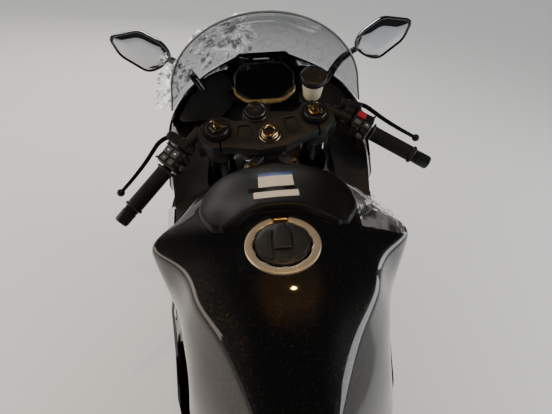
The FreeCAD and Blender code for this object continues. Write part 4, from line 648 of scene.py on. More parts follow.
# The slot has a raised rim round a shallow floor, painted near black with little shine: painted shade for the
# slot's depth
SLOT_RIM = [(0.02, 0.25), (0.74, 0.25), (0.84, 0.9), (1.0, 1.0), (1.14, 0.4), (1.18, -0.4), (0.02, -0.6)]
SLOT_FLOOR = [(0.02, 0.5), (0.72, 0.42), (0.80, 0.20), (0.02, 0.05)]
slot_painted_shade = coat("slot_painted_shade", (0.0008, 0.0008, 0.0009), (0.0016, 0.0016, 0.0018), rough=(0.5, 0.7), shine=0.1)
piece("cover_slot", [stadium_on_cover(877.2, 47, -30, 5.2, profile) for profile in (SLOT_RIM, SLOT_FLOOR)],
      [cover_grey, slot_painted_shade], "chassis", sharp=50)
label_cream = label_paint("label_cream", (0.58, 0.50, 0.36))
label_blue = label_paint("label_blue", (0.02, 0.06, 0.22))
piece("blank_labels", [draped_label(5, 16, 919, 884, 29, -28), draped_label(3, 16, 930, 919.3, 29, -28),
                       draped_label(4, 18, 869, 851, 37, -33)],
      [label_cream, label_blue, label_cream], "chassis")


# Filler
# A satin aluminium ring on the tank, whose inner edge is scalloped, and a black lid hinged at its front.
# Two fine joints cross the ring at its rear, and the lid has two raised wings beside its key cover.

HINGE_AHEAD = 46.0
HINGE_LIFT = 0.5
RING_INNER = 40.0
RING_LOBES = 10
RING_COUNT = 900
# Ring: share of the way from its inner to its outer edge, inset from that edge, height
RING_PROFILE = [(1, 0, -7.6), (1, 0, 0.9), (1, 1.0, 1.9), (1, 2.4, 2.2), (0, -1.6, 2.2), (0, -0.5, 1.7),
                (0, 0, 0.7), (0, 0, -7.6)]
LID = [(0.1, -5.5), (37.4, -5.5), (38.5, -4.4), (38.5, 1.9), (37.9, 2.9), (36.6, 3.4), (0.1, 3.4)]
# Raised plates of the lid, each as an outline (ahead, left)
WING = [(27, 12), (22, 26), (8, 34.5), (-8, 35.5), (-22, 29.5), (-31, 15), (-20, 13.5), (6, 15.5)]
KEY_COVER = [(34, 6.0), (20, 9.5), (5, 12.6), (-13, 11.4), (-13, -11.4), (5, -12.6), (20, -9.5), (34, -6.0)]
REAR_FLAP = [(-15, 10.6), (-34.5, 7.5), (-34.5, -7.5), (-15, -10.6)]
HINGE_TAB = [(30, 6.2), (46.5, 8.6), (46.5, -8.6), (30, -6.2)]


def on_cap(points):
    """Parked place of points on the filler: ahead, left, and out of the tank's top."""
    axes = np.stack([CAP_AHEAD, [0.0, 1.0, 0.0], CAP_WAY])
    return upright(CAP_CENTRE + np.asarray(points, float) @ axes)


def scalloped_ring():
    """Ring by angle and profile: its inner radius is RING_INNER plus 1.9 times |sin(5 angle)| to the power
    0.6, its top sinks by a narrow bell at each joint, and steps down where the hinge passes."""
    angle = np.linspace(0, 2 * np.pi, RING_COUNT, endpoint=False)
    inner = RING_INNER + 1.9 * np.abs(np.sin(RING_LOBES / 2 * angle)) ** 0.6
    off = (angle + np.pi) % (2 * np.pi) - np.pi
    joints_cut = sum(np.exp(-((angle - np.pi - way) / 0.007) ** 2) for way in (-0.26, 0.30))
    hinge = 1 / (1 + np.exp(-(0.245 - np.abs(off)) / 0.004))
    rows = []
    for share, inset, height in RING_PROFILE:
        radius = share * RING_OUTER + (1 - share) * inner - inset
        top = height - 0.9 * joints_cut * (height > 0)
        top = top * (1 - hinge) + min(height, -5.2) * hinge
        rows.append(np.stack([radius * np.cos(angle), radius * np.sin(angle), top], -1))
    return np.stack(rows)


def hinge_bar(half_long, radius, count):
    """Skin of a round bar on the hinge's line."""
    ends = [(HINGE_AHEAD, -half_long, HINGE_LIFT), (HINGE_AHEAD, half_long, HINGE_LIFT)]
    return closed(carried(ends, ring_of(radius, count)), on_cap)


satin_gold = coat("satin_ring", (0.66, 0.54, 0.36), (0.72, 0.60, 0.42), metal=0.8, rough=(0.33, 0.39),
                  grain=0.15, depth=0.0001, grain_scale=3500, edge=0)
hinge_gold = coat("hinge_gold", (0.75, 0.45, 0.14), (0.85, 0.60, 0.28), metal=1.0, rough=(0.16, 0.26), edge=0)
lid_black = coat("lid_black", (0.012, 0.011, 0.010), (0.018, 0.016, 0.014), rough=(0.32, 0.42), grain=0.35,
                 depth=0.0002, grain_scale=2400, edge=0)
piece("filler_ring_trim", [looped(scalloped_ring(), on_cap), hinge_bar(11.4, 1.5, 16)],
      [satin_gold, hinge_gold], "chassis", sharp=30, stands_for=["filler_ring"])

lid_parts = [closed(turned(LID, (0, 0, 0), (0, 0, 1), 96), on_cap)]
for outline, top, edge in ((WING, 5.6, 1.4), ([(a, -b) for a, b in WING], 5.6, 1.4), (KEY_COVER, 7.4, 1.6),
                           (REAR_FLAP, 5.0, 0.9)):
    lid_parts.append(closed(plate(outline, 3.0, top, edge, 4.0), on_cap))
tab = plate(HINGE_TAB, -2.0, 4.6, 1.5, 2.0)
tab[..., 2] -= np.clip(tab[..., 0] - 40.0, 0, 8) * 0.12
lid_parts += [hinge_bar(9.3, 3.8, 24), closed(tab, on_cap)]
piece("filler_lid", lid_parts, [lid_black] * 5 + [hinge_gold] * 2, "fuel_lid", sharp=32,
      stands_for=["fuel_lid"])


# Castings
# Yokes, bar clamps, feet, calipers and the frame are cast or machined: their solids are kept, with every
# sharp edge broken by a small rounding.

DOUBLE = 2e-6


def eased_edges(name, finish, body, width=0.0012, segments=2):
    """Copy of a solid's mesh whose doubled points are merged and whose edges, where two faces meet at more
    than 32 degrees, are cut back by the width and rounded."""
    made = linked(name + "_eased", frame["nodes"][name].data.copy())
    cleaned(made.data, DOUBLE, 0.6)
    made.data.materials.clear()
    made.data.materials.append(finish)
    rounded = modified(made, "BEVEL", width=width, segments=segments, limit_method="ANGLE",
                       angle_limit=math.radians(32), use_clamp_overlap=True)
    rounded.shade_smooth()
    rounded.set_sharp_from_angle(angle=math.radians(34))
    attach(made, body)
    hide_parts(name)


for name, width, segments in (("upper_yoke", 0.0016, 3), ("lower_yoke", 0.0016, 3), ("clip_ons", 0.0010, 2),
                              ("fork_feet", 0.0010, 2)):
    eased_edges(name, cast_black, "steering", width, segments)


# Steering head
# Round parts in line with the fork: caps with their adjusters, the stem nut and the ignition lock. All are
# turned from bar.

YOKE_TOP = 674.0
FORK_TOP = 684.0
FORK_AHEAD = 31.0
FORK_LEFT = 104.0
LOCK_PLACE = (60.0, 18.0)
SIDES = ((1, "left"), (-1, "right"))
# Fork caps: a black cup, a hexagon, and the adjuster's screw with its slot and wings; the slot is a dark bar
# of painted shade
CUP = [(0.1, -5.5), (23.6, -5.5), (23.6, 1.9), (22.9, 2.8), (21.6, 3.0), (20.2, 2.6), (19.4, 0.8), (0.1, 0.8)]
CAP_NUT = [(0.1, 0.5, 0), (13.2, 0.5, 13.2), (13.2, 5.6, 13.2), (12.3, 6.6, 10.0), (8.6, 6.8, 0),
           (8.0, 5.4, 0), (0.1, 5.4, 0)]
SCREW = [(0.1, 5.0), (6.4, 5.0), (6.4, 10.6), (5.6, 11.4), (0.1, 11.4)]
SCREW_SLOT = [(5.5, 1.0), (-5.5, 1.0), (-5.5, -1.0), (5.5, -1.0)]
CAP_WING = [(5.0, 1.7), (17.0, 2.3), (17.8, 0), (17.0, -2.3), (5.0, -1.7)]
# Stem nut: a bright cone washer, a chamfered nut and its bore, closed by a dark disc of painted shade
NUT = [(9.2, 0.1, 0), (23.3, 0.1, 0), (23.3, 2.0, 0), (22.6, 3.4, 0), (21.2, 4.2, 0), (18.4, 4.6, 0),
       (17.6, 5.2, 0.3), (17.2, 6.4, 0.5), (17.0, 10.6, 0.5), (16.2, 13.0, 0.4), (14.4, 14.8, 0.2),
       (12.2, 15.2, 0), (10.4, 14.4, 0), (9.4, 12.6, 0), (9.2, 8.0, 0)]
NUT_BORE = [(0.1, 8.1), (9.0, 8.1), (9.0, 8.6), (0.1, 8.6)]
# Ignition lock: outer ring, dished black face, bright inner ring and the key's slot, a dark plate of painted
# shade
LOCK_BODY = [(0.1, -44), (21.8, -44), (21.8, 0.4), (25.6, 0.4), (25.8, 3.2), (25.0, 4.2), (22.4, 4.5),
             (21.9, 12.4), (20.9, 13.8), (18.8, 14.0), (17.4, 12.8), (16.6, 11.2), (0.1, 11.0)]
LOCK_FACE = [(0.1, 11.1), (13.4, 11.1), (13.4, 12.6), (12.6, 13.2), (11.2, 13.2), (10.6, 12.2), (0.1, 12.2)]
KEY_SLOT = [(3.6, 0.8), (-3.6, 0.8), (-3.6, -0.8), (3.6, -0.8)]
KEY_PLATE = [(0.1, 12.0), (4.6, 12.0), (4.6, 12.9), (4.0, 13.3), (0.1, 13.3)]


def six_sided(angle):
    """How much further than its flats a six sided prism reaches at each angle: 1 / cos - 1."""
    return 1 / np.cos((angle + np.pi / 6) % (np.pi / 3) - np.pi / 6) - 1


def standing(profile, a, b, s, count=48, waves=None):
    """Skin of a part turned on an axis parallel to the steering axis, over the point (a, b, s)."""
    return closed(turned(profile, (a, b, s), (0, 0, 1), count, waves), on_bars)


def laid(outline, low, high, edge, reach, turn, centre):
    """Skin of a small plate that is turned by an angle about its own middle and set at a centre."""
    rows = plate(outline, low, high, edge, reach)
    cos, sin = math.cos(turn), math.sin(turn)
    rows[..., :2] = rows[..., :2] @ np.array([[cos, sin], [-sin, cos]])
    return closed(rows + np.array(centre), on_bars)


brass = coat("brass", (0.78, 0.50, 0.20), (0.88, 0.66, 0.36), metal=1.0, rough=(0.12, 0.22), edge=0)
copper = coat("copper", (0.46, 0.27, 0.11), (0.70, 0.52, 0.28), metal=1.0, rough=(0.14, 0.26), edge=0)
# Chrome tinted warm: the metal is real, its warm tint is a painted reflection of warm light
chrome_painted_warm_reflection = coat("chrome_painted_warm_reflection", (0.66, 0.47, 0.24), (0.78, 0.62, 0.40), metal=1.0, rough=(0.14, 0.20),
                   patch_scale=90, edge=0)
satin_black = coat("satin_black", 0.008, (0.013, 0.012, 0.012), rough=(0.20, 0.30), lacquer=0.4, edge=0)
# Flat black that fills bores and slots: painted shade that stands for their depth
hole_painted_shade = coat("hole_painted_shade", 0.003, 0.006, rough=(0.5, 0.6), edge=0)
for (side, label), nut_finish, screw_finish, wing_turns in (
        (SIDES[0], satin_black, brass, (0.2, 2.6, 4.4)), (SIDES[1], copper, copper, (0.9, 3.9))):
    centre = (FORK_AHEAD, side * FORK_LEFT, FORK_TOP)
    parts = [standing(CUP, *centre, 64), standing(CAP_NUT, *centre, 72, six_sided),
             standing(SCREW, *centre, 32), laid(SCREW_SLOT, 10.9, 11.8, 0.2, 0.3, 0.6 * side, centre)]
    parts += [laid(CAP_WING, 6.4, 8.2, 0.5, 1.0, turn, centre) for turn in wing_turns]
    finishes = [satin_black, nut_finish, screw_finish, hole_painted_shade] + [screw_finish] * len(wing_turns)
    piece("fork_cap_" + label, parts, finishes, "steering", sharp=30,
          stands_for=["fork_caps"] if side > 0 else [])

# The nut's warm chrome tint is a painted reflection of warm light
stem_ring = turned(NUT, (0, 0, YOKE_TOP), (0, 0, 1), 96, lambda angle: np.cos(6 * angle))
piece("stem_nut_bright", [looped(stem_ring, on_bars), standing(NUT_BORE, 0, 0, YOKE_TOP, 32)],
      [chrome_painted_warm_reflection, hole_painted_shade], "steering", sharp=40, stands_for=["stem_nut"])

lock_centre = (*LOCK_PLACE, YOKE_TOP)
piece("ignition_lock_barrel",
      [standing(LOCK_BODY, *lock_centre, 72), standing(LOCK_FACE, *lock_centre, 48),
       laid(KEY_SLOT, 13.0, 13.5, 0.1, 0.3, 0.0, lock_centre), standing(KEY_PLATE, *lock_centre, 24)],
      [satin_black, satin_black, hole_painted_shade, dark_steel], "steering",
      sharp=30, stands_for=["ignition_lock"])


# Bars
# Each clip-on bar is an aluminium tube; a rubber grip with two flanges and a steel weight sit on its end,
# and the switch box, the lever's clamp and its blade further in. Distances are along, ahead and above.

BAR_START = np.array([61.5, 141.8, 646.9])
BAR_ALONG = unit([-0.616, 0.761, -0.203])
BAR_AHEAD = unit(np.cross(BAR_ALONG, [0.0, 0.0, 1.0]))
BAR_ABOVE = unit(np.cross(BAR_AHEAD, BAR_ALONG))
GRIP_RINGS = 15
GRIP_RIBS = 32
GRIP_INNER = [(11.2, 110, 0), (19.4, 110, 0), (20.4, 111, 0), (20.4, 113.4, 0), (19.2, 114.6, 0),
              (16.9, 115.6, 0.2)]
GRIP_RING = [(16.6, 119, 0.5), (16.6, 123.3, 0.5), (15.9, 123.7, 0.1), (15.9, 124.5, 0.1)]
GRIP_PITCH = 5.9
GRIP_OUTER = [(16.6, 208.6, 0.3), (18.8, 210.2, 0), (19.4, 211.4, 0), (19.4, 214.8, 0), (18.4, 216, 0),
              (11.2, 216, 0)]
WEIGHT = [(0.2, 217), (14.0, 217), (15.0, 218), (15.0, 221), (13.6, 222), (13.6, 223.4), (15.0, 224.4),
          (15.0, 250), (13.4, 253.6), (11.6, 254.8), (7.4, 254.9), (6.6, 251.6), (0.2, 251.6)]
SWITCH_BODY = [(11.3, 62), (22.4, 62), (24.0, 64), (24.0, 104), (22.4, 106), (11.3, 106)]
SWITCH_SCREW = [(0.1, 20.0), (2.6, 20.0), (2.6, 22.6), (2.2, 23.0), (1.3, 23.0), (1.2, 22.0), (0.1, 22.0)]
ROCKER = [(0.1, 22), (6.4, 22), (6.4, 29.6), (5.6, 30.6), (0.1, 31.2)]
BLADE_LINE = [(46, 44, 0), (60, 53, 0), (74, 56.5, 0), (96, 54, 0), (120, 50, 0), (160, 46.6, 0),
              (204, 46, 0)]
LEVER_CLAMP = [(11.3, 34), (16.2, 34), (17, 35), (17, 57), (16.2, 58), (11.3, 58)]
LEVER_JAW = [(35, 8), (57, 8), (57, 40), (52, 52), (40, 52), (35, 40)]
PIVOT = [(0.1, -9.5), (5.4, -9.5), (5.4, 8.8), (4.8, 9.6), (2.8, 9.8), (2.6, 8.6), (0.1, 8.6)]
CLAMP_BOLT = [(0.1, 0), (3.4, 0), (3.4, 3.2), (2.8, 3.8), (1.7, 3.8), (1.6, 2.2), (0.1, 2.2)]


def on_bar(points, side):
    """Parked place of points on a bar: along it from its clamp, ahead of it and above it. Side -1 is the
    right bar, the left one's mirror image."""
    place = BAR_START + np.asarray(points, float) @ np.stack([BAR_ALONG, BAR_AHEAD, BAR_ABOVE])
    return on_bars(place * np.array([1.0, side, 1.0]))


def round_bar(profile, side, count=48, waves=None):
    """Skin of a part turned on the bar from pairs (radius, distance along)."""
    return closed(turned(profile, (0, 0, 0), (1, 0, 0), count, waves), on_bar, side)


def box_on_bar(outline, low, high, side, edge, reach):
    """Skin of a rounded slab over the bar: its outline (along, ahead) and its foot and top above the bar."""
    return closed(plate(outline, low, high, edge, reach), on_bar, side)


def oblong(along_low, along_high, ahead_low, ahead_high):
    """Four corners of a rectangle (along, ahead)."""
    return [(along_low, ahead_low), (along_high, ahead_low), (along_high, ahead_high),
            (along_low, ahead_high)]


grip_rubber = coat("grip_rubber", 0.0062, (0.0105, 0.0105, 0.0100), rough=(0.40, 0.52), grain=0.6,
                   depth=0.0003, grain_scale=2600, edge=0)
weight_black = coat("weight_black", 0.010, 0.02, metal=0.4, rough=(0.26, 0.36), edge=0)
switch_black = coat("switch_black", 0.0065, (0.0110, 0.0105, 0.0100), rough=(0.30, 0.42), grain=0.5,
                    depth=0.0003, grain_scale=2200, edge=0)
key_red = coat("key_red", (0.22, 0.006, 0.010), (0.30, 0.010, 0.014), rough=(0.30, 0.40), grain=0.3, edge=0)
key_grey = coat("key_grey", 0.045, 0.07, rough=(0.34, 0.46), edge=0)
key_pale = coat("key_pale", (0.50, 0.50, 0.48), (0.60, 0.60, 0.58), rough=(0.4, 0.5), edge=0)

# Grip: flange, shallow rings between smooth bands, outer flange; fine ribs run along it
ring_rows = [(radius, along + ring * GRIP_PITCH, wave)
             for ring in range(GRIP_RINGS) for radius, along, wave in GRIP_RING]
grip_profile = GRIP_INNER + ring_rows + GRIP_OUTER
for side, label in SIDES:
    piece("grip_" + label, [round_bar(grip_profile, side, 96, lambda angle: np.cos(GRIP_RIBS * angle) * 0.5)],
          grip_rubber, "steering", sharp=45, stands_for=["grips"] if side > 0 else [])
    piece("bar_weight_" + label, [round_bar(WEIGHT, side)], weight_black, "steering",
          sharp=30)

# Switch boxes: two half shells with a joint between them, and the keys on top
LEFT_KEYS = [
    # Finish, along from and to, ahead from and to, top
    (key_grey, 68, 84, 4, 19, 25.6), (key_grey, 68, 84, -14, 1, 24.6), (key_pale, 74, 78, 9, 14, 26.0),
    (key_pale, 74, 78, -9, -4, 25.0), (key_grey, 88, 100, -16, -4, 24.4), (key_grey, 88, 100, 2, 16, 25.2),
    (key_pale, 92, 96, 7, 9, 25.6),
]
RIGHT_KEYS = [
    (key_red, 66, 84, 2, 17, 27.4), (key_grey, 66, 80, -15, -4, 24.2), (key_grey, 88, 100, -14, -2, 24.6),
    (key_pale, 92, 96, -9, -6, 25.0),
]
for (side, label), keys in zip(SIDES, (LEFT_KEYS, RIGHT_KEYS)):
    parts = [box_on_bar(oblong(62.0, 83.6, -26, 26), -14, 21.0, side, 5.0, 9.0),
             box_on_bar(oblong(84.4, 106.0, -26, 26), -14, 21.0, side, 5.0, 9.0),
             box_on_bar(oblong(64, 104, -19, 22), 19.0, 22.6, side, 1.2, 5.0),
             round_bar(SWITCH_BODY, side)]
    parts += [box_on_bar(oblong(*corners), 21.0, top, side, 0.9, 2.2) for _, *corners, top in keys]
    parts += [closed(turned(SWITCH_SCREW, (along, ahead, 0), (0, 0, 1), 16), on_bar, side)
              for along, ahead in ((66, -22.5), (102, -22.5), (66, 24.2), (102, 24.2))]
    # Rocker that the thumb pushes, at the back of the box
    parts.append(closed(turned(ROCKER, (90, 0, 3), (0, -1, 0), 28), on_bar, side))
    finishes = [switch_black] * 4 + [key[0] for key in keys] + [dark_steel] * 4 + [key_grey]
    piece("switch_box_" + label, parts, finishes, "steering", sharp=34,
          stands_for=["switchgear"] if side > 0 else [])

# Levers: cast blades of flat oval section that end in a ball, each on a clamp with a pivot bolt; the
# right one also has the brake's cylinder
lever_black = coat("lever_black", 0.012, 0.02, metal=0.5, rough=(0.22, 0.32), edge=0)
blade = carried(evened(BLADE_LINE, 64), ring_of(1.0, 20) * np.array([3.9, 6.4]),
                swell=np.linspace(1.06, 0.80, 64))
bend = np.linspace(0.02, np.pi - 0.02, 18)
ball = turned(np.stack([8.4 * np.sin(bend), -8.4 * np.cos(bend)], -1), (207, 46, 0), (1, 0, 0), 28)
cylinder_start = np.array([20.0, 30.0, 2.0])
cylinder_way = np.array([66.0, 44.0, 2.0]) - cylinder_start
cylinder_long = float(np.linalg.norm(cylinder_way))
CYLINDER = [(0.1, 0), (10.6, 0), (12, 1.6), (12, 9), (11.2, 9.8), (11.2, 14), (12, 14.8),
            (12, cylinder_long - 2), (10.4, cylinder_long), (0.1, cylinder_long)]
for side, label in SIDES:
    parts = [closed(blade, on_bar, side), closed(ball, on_bar, side), round_bar(LEVER_CLAMP, side, 40),
             box_on_bar(LEVER_JAW, -8, -3.4, side, 1.0, 5.0), box_on_bar(LEVER_JAW, 3.4, 8, side, 1.0, 5.0),
             box_on_bar(oblong(37, 55, -20, -10), -7, 7, side, 1.5, 3.0),
             closed(turned(PIVOT, (46, 44, 0), (0, 0, 1), 24), on_bar, side)]
    parts += [closed(turned(CLAMP_BOLT, (46, -15, 6.8 * way), (0, 0, way), 18), on_bar, side)
              for way in (1, -1)]
    finishes = [lever_black] * 2 + [switch_black] * 4 + [dark_steel] * 3
    if side < 0:
        parts.append(closed(turned(CYLINDER, cylinder_start, cylinder_way, 32), on_bar, side))
        finishes.append(switch_black)
    piece("lever_" + label, parts, finishes, "steering", sharp=36,
          stands_for=["levers"] if side > 0 else [])

# Brake fluid pot: cream translucent plastic, a ribbed black cap and its steel stay
POT_PLACE = (114.0, -122.0, 636.0)
POT = [(0.1, 0), (16.5, 0), (19.0, 1.4), (20.4, 4.5), (24.8, 44), (24.8, 50.4), (0.1, 50.4)]
POT_CAP = [(0.1, 49.8, 0), (27.6, 49.8, 0.3), (29.0, 51.2, 0.7), (29.0, 61.6, 0.7), (27.8, 63.6, 0.3),
           (25.2, 64.8, 0), (23.0, 64.9, 0), (22.2, 63.9, 0), (0.1, 63.9, 0)]
POT_SCREW = [(0.1, 63.4), (2.6, 63.4), (2.6, 65.2), (2.0, 65.8), (0.1, 65.8)]
POT_STAY = [(114, -122, 641), (86, -116, 634), (57, -110, 624)]
pot_cream = coat("pot_cream", (0.66, 0.56, 0.36), (0.74, 0.68, 0.50), rough=(0.28, 0.38), patch_scale=26,
                 grain=0.05, edge=0)
fed(shader_of(pot_cream), {"Subsurface Weight": 0.35, "Subsurface Radius": (0.012, 0.008, 0.004)})
pot_parts = [standing(POT, *POT_PLACE),
             standing(POT_CAP, *POT_PLACE, 96, lambda angle: np.cos(24 * angle))]
for way in (0.8, 3.9):
    pot_parts.append(standing(POT_SCREW, POT_PLACE[0] + 15 * math.cos(way), POT_PLACE[1] + 15 * math.sin(way),
                              POT_PLACE[2], 16))
pot_parts.append(closed(tube(POT_STAY, 4.2, 14, 8), on_bars))
piece("fluid_pot", pot_parts, [pot_cream, switch_black] + [dark_steel] * 3, "steering",
      sharp=36, stands_for=["brake_reservoir"])


# Dash
# A flat glossy instrument without hands: dark glass in an eight sided black housing, with a thin pale frame,
# and a warm chromed lip along its lower edge. The lip's colour runs in patches from dark to bright gold:
# painted glints.

DASH_CENTRE = np.array([1350.0, 0.0, 918.0])
DASH_TILT = math.radians(58.0)
# Left of the dash's middle, up its face, and out of its face
DASH_AXES = np.array([[0.0, 1.0, 0.0], [math.cos(DASH_TILT), 0.0, math.sin(DASH_TILT)],
                      [-math.sin(DASH_TILT), 0.0, math.cos(DASH_TILT)]])
DASH_LIP = [(-73, -12), (-71, -24), (-58, -36), (-40, -45.5), (-14, -47.5), (14, -47.5), (40, -45.5),
            (58, -36), (71, -24), (73, -12)]


def on_dash(points):
    """Parked place of points on the dash, each carried along the dash's own axes."""
    return upright(DASH_CENTRE + np.asarray(points, float) @ DASH_AXES)


def eight_sided(wide, high, cut, low_cut):
    """Corners of the housing's face, its lower corners cut further in."""
    return [(-wide, -high + cut), (-wide + low_cut, -high), (wide - low_cut, -high), (wide, -high + cut),
            (wide, high - cut), (wide - cut, high), (-wide + cut, high), (-wide, high - cut)]


dash_glass = coat("dash_glass", (0.002, 0.002, 0.0025), (0.004, 0.004, 0.005), rough=(0.03, 0.06),
                  lacquer=0.6, grain=0.01, edge=0)
dash_frame = coat("dash_frame", (0.05, 0.045, 0.045), (0.09, 0.08, 0.08), metal=0.6, rough=(0.22, 0.32),
                  edge=0)
# The lip's colour patches, dark to bright gold, are painted glints on its chrome
dash_lip = coat("dash_lip", (0.30, 0.15, 0.02), (1.0, 0.75, 0.30), metal=0.70, rough=(0.16, 0.30),
                patch_scale=70, grain=0.4, depth=0.0008, grain_scale=60, edge=0)
rim_line = undoubled(softened(eight_sided(72.6, 43.2, 24.5, 34.5), 7.0, 6))
rim_way = unit(np.roll(rim_line, -1, axis=0) - np.roll(rim_line, 1, axis=0))
rim_out = np.stack([rim_way[:, 1], -rim_way[:, 0]], -1)
rim_section = ring_of(1.0, 10) * np.array([1.5, 1.1])
rim_rows = rim_line[:, None] + rim_section[None, :, :1] * rim_out[:, None]
dash_parts = [closed(plate(eight_sided(76, 46, 26, 36), -22, 0.6, 3.0, 7.0), on_dash),
              closed(plate(eight_sided(70, 40.5, 23, 33), -0.5, 1.2, 0.6, 6.0), on_dash),
              looped(raised(rim_rows, 1.1 + rim_section[:, 1]), on_dash)]
piece("dash_face", dash_parts, [satin_black, dash_glass, dash_frame], "chassis", sharp=32,
      stands_for=["dash"])
# Lip: a faceted bar round the lower half of the face, thicker in its middle
lip = tube(raised(np.array(DASH_LIP) * 1.03, -2.0), 1.0, 8, 6)
lip_middle = lip.mean(1, keepdims=True)
lip_size = (1.8 + 4.8 * np.sin(np.linspace(0, np.pi, len(lip))) ** 0.8)[:, None, None]
piece("dash_lip", [closed(lip_middle + (lip - lip_middle) * lip_size, on_dash)], dash_lip, "chassis",
      sharp=50)


# Windscreen
# A blown bubble of smoke grey acrylic, 3 mm thick, seated on the cowl; its rolled edge is polished.
# Clear protective film still covers most of it and hangs loose at its lower left.

SCREEN_ROWS = [
    # Left edge (x, y, z), top (x, z), from the base to the tip
    ((1292, 228, 882), (1408, 962)),
    ((1283.5, 222.5, 907.5), (1322, 1052)),
    ((1275, 217, 933), (1214, 1112)),
]
SCREEN_THICK = 3.0
FILM_THICK = 0.3
FILM_COLUMNS = 140
FILM_ROWS = 84
FOLDS = 9


def screen_surface(around, rise, lift=0.0):
    """Point of the screen: around runs 0 to 1 along an arc from its left edge over its top to its right
    edge, rise runs 0 to 1 from base to tip; edge and top points follow a parabola through the three
    rows, and lift moves the point out along the arc's radius."""
    edge = np.array([row[0] for row in SCREEN_ROWS], float)
    top = np.array([(row[1][0], 0, row[1][1]) for row in SCREEN_ROWS], float)
    v = np.asarray(rise, float)[..., None]
    weights = [2 * (v - 0.5) * (v - 1), -4 * v * (v - 1), 2 * v * (v - 0.5)]
    e = sum(w * p for w, p in zip(weights, edge))
    t = sum(w * p for w, p in zip(weights, top))
    base = e * np.array([1.0, 0.0, 1.0])
    way = t - base
    height = np.linalg.norm(way, axis=-1, keepdims=True)
    half = e[..., 1:2]
    radius = (half ** 2 + height ** 2) / (2 * height)
    centre = base + way / height * (height - radius)
    limit = np.arctan2(half, radius - height)
    limit = np.where(limit < 0, limit + 2 * np.pi, limit)
    angle = limit * (1 - 2 * np.asarray(around, float)[..., None])
    reach = radius + lift if np.isscalar(lift) else radius + np.asarray(lift)[..., None]
    return (centre + way / height * np.cos(angle) * reach
            + np.array([0.0, 1.0, 0.0]) * np.sin(angle) * reach)


def clear_paint(name, colour, rough, haze):
    """Clear plastic: light passes through, tinted by the colour, and fine scratches blur it a little."""
    made = coat(name, colour, [c * 0.92 for c in colour], rough=rough, grain=haze, depth=0.0003,
                grain_scale=240, patch_scale=8, edge=0)
    fed(shader_of(made), {"Transmission Weight": 1.0, "IOR": 1.35})
    return made


def film_paint(name, size, thin, least, most, painted_glow):
    """Clear film of which mostly the creases show: where a noise passes its middle value, within thin of it,
    the film is as pale as most, and elsewhere as faint as least. It also glows by emission of strength
    painted_glow, white or grey by a coarser noise: a painted highlight, as the film is no lamp."""
    made = coat(name, 0.16, (0.95, 0.95, 0.93), rough=(0.10, 0.22), grain=0.7, depth=0.0008,
                grain_scale=size * 2.5, patch_scale=size * 2.0, edge=0)
    tree = made.node_tree
    where = next(node for node in tree.nodes if node.type == "TEX_COORD")
    veins = grown(tree, "TexNoise", {"Scale": size, "Detail": 6.0, "Roughness": 0.62, "Distortion": 1.4,
                                     "Vector": where.outputs["Object"]})
    middle = grown(tree, "Math", {0: veins.outputs["Fac"], 1: 0.5}, operation="SUBTRACT")
    away = grown(tree, "Math", {0: middle.outputs["Value"]}, operation="ABSOLUTE")
    pale = grown(tree, "MapRange", {"From Max": thin, "To Min": most, "To Max": least,
                                    "Value": away.outputs["Value"]})
    tint = next(node for node in tree.nodes if node.type == "MIX")
    drift = tint.inputs["Factor"].links[0].from_socket
    harder = grown(tree, "MapRange", {"From Min": 0.44, "From Max": 0.56, "Value": drift})
    fed(tint, {"Factor": harder.outputs["Result"]})
    # The emission paints a white glow on the film's creases: painted highlight
    fed(shader_of(made), {"Alpha": pale.outputs["Result"], "Emission Color": tint.outputs["Result"],
                          "Emission Strength": painted_glow})
    return made


def creases(x, y, seed, steep, finest=7.0, coarsest=80.0):
    """Crinkled height in millimetres over (x, y): a sum of folds, each |triangle wave| across its own
    random direction, bent by a slow sine. A fold's slope is steep times the root of finest / length."""
    draw = np.random.default_rng(seed)
    height = np.zeros(np.broadcast(x, y).shape)
    for step in range(FOLDS):
        length = coarsest * (finest / coarsest) ** (step / (FOLDS - 1))
        way = draw.uniform(0, np.pi)
        along = x * math.cos(way) + y * math.sin(way)
        across = -x * math.sin(way) + y * math.cos(way)
        phase = along / length + 0.35 * np.sin(across / length * draw.uniform(0.5, 1.2) + draw.uniform(0, 6))
        height += np.abs((phase + draw.uniform(0, 2)) % 2 - 1) * length * steep * math.sqrt(finest / length)
    return height / math.sqrt(FOLDS)


def film_patch(around_from, around_to, rise_from, rise_to, seed, steep, low, torn_by=0.0):
    """Film over part of the screen: it lifts off by low plus its creases, less along its edges."""
    share, r = np.meshgrid(np.linspace(0, 1, FILM_COLUMNS), np.linspace(rise_from, rise_to, FILM_ROWS))
    torn = torn_by * (np.sin(9 * r + seed) + 0.6 * np.sin(23 * r) + 0.3 * np.sin(61 * r))
    a = around_from + torn + (around_to - around_from) * share
    wave = creases(a * 560, r * 200, seed, steep)
    edge = np.minimum(np.minimum(a - around_from, around_to - a) * 14,
                      np.minimum(r - rise_from, rise_to - r) * 8)
    lift = low + wave * np.clip(0.3 + edge, 0, 1)
    return slab(screen_surface(a, r, lift), screen_surface(a, r, lift - FILM_THICK))


smoke_clear = clear_paint("smoke_clear", (0.50, 0.51, 0.53), (0.02, 0.05), 0.03)
edge_grey = coat("edge_grey", 0.10, (0.22, 0.22, 0.21), rough=(0.16, 0.28), lacquer=0.6, edge=0)
# Each film's last number is the strength of its painted glow, emission that paints its creases white
film_smooth = film_paint("film_smooth", 26.0, 0.020, 0.02, 0.22, 0.10)
film_crumpled = film_paint("film_crumpled", 17.0, 0.075, 0.04, 0.95, 1.0)
film_loose = film_paint("film_loose", 26.0, 0.070, 0.06, 0.90, 0.8)
film_draped = film_paint("film_draped", 13.0, 0.016, 0.05, 0.50, 0.30)

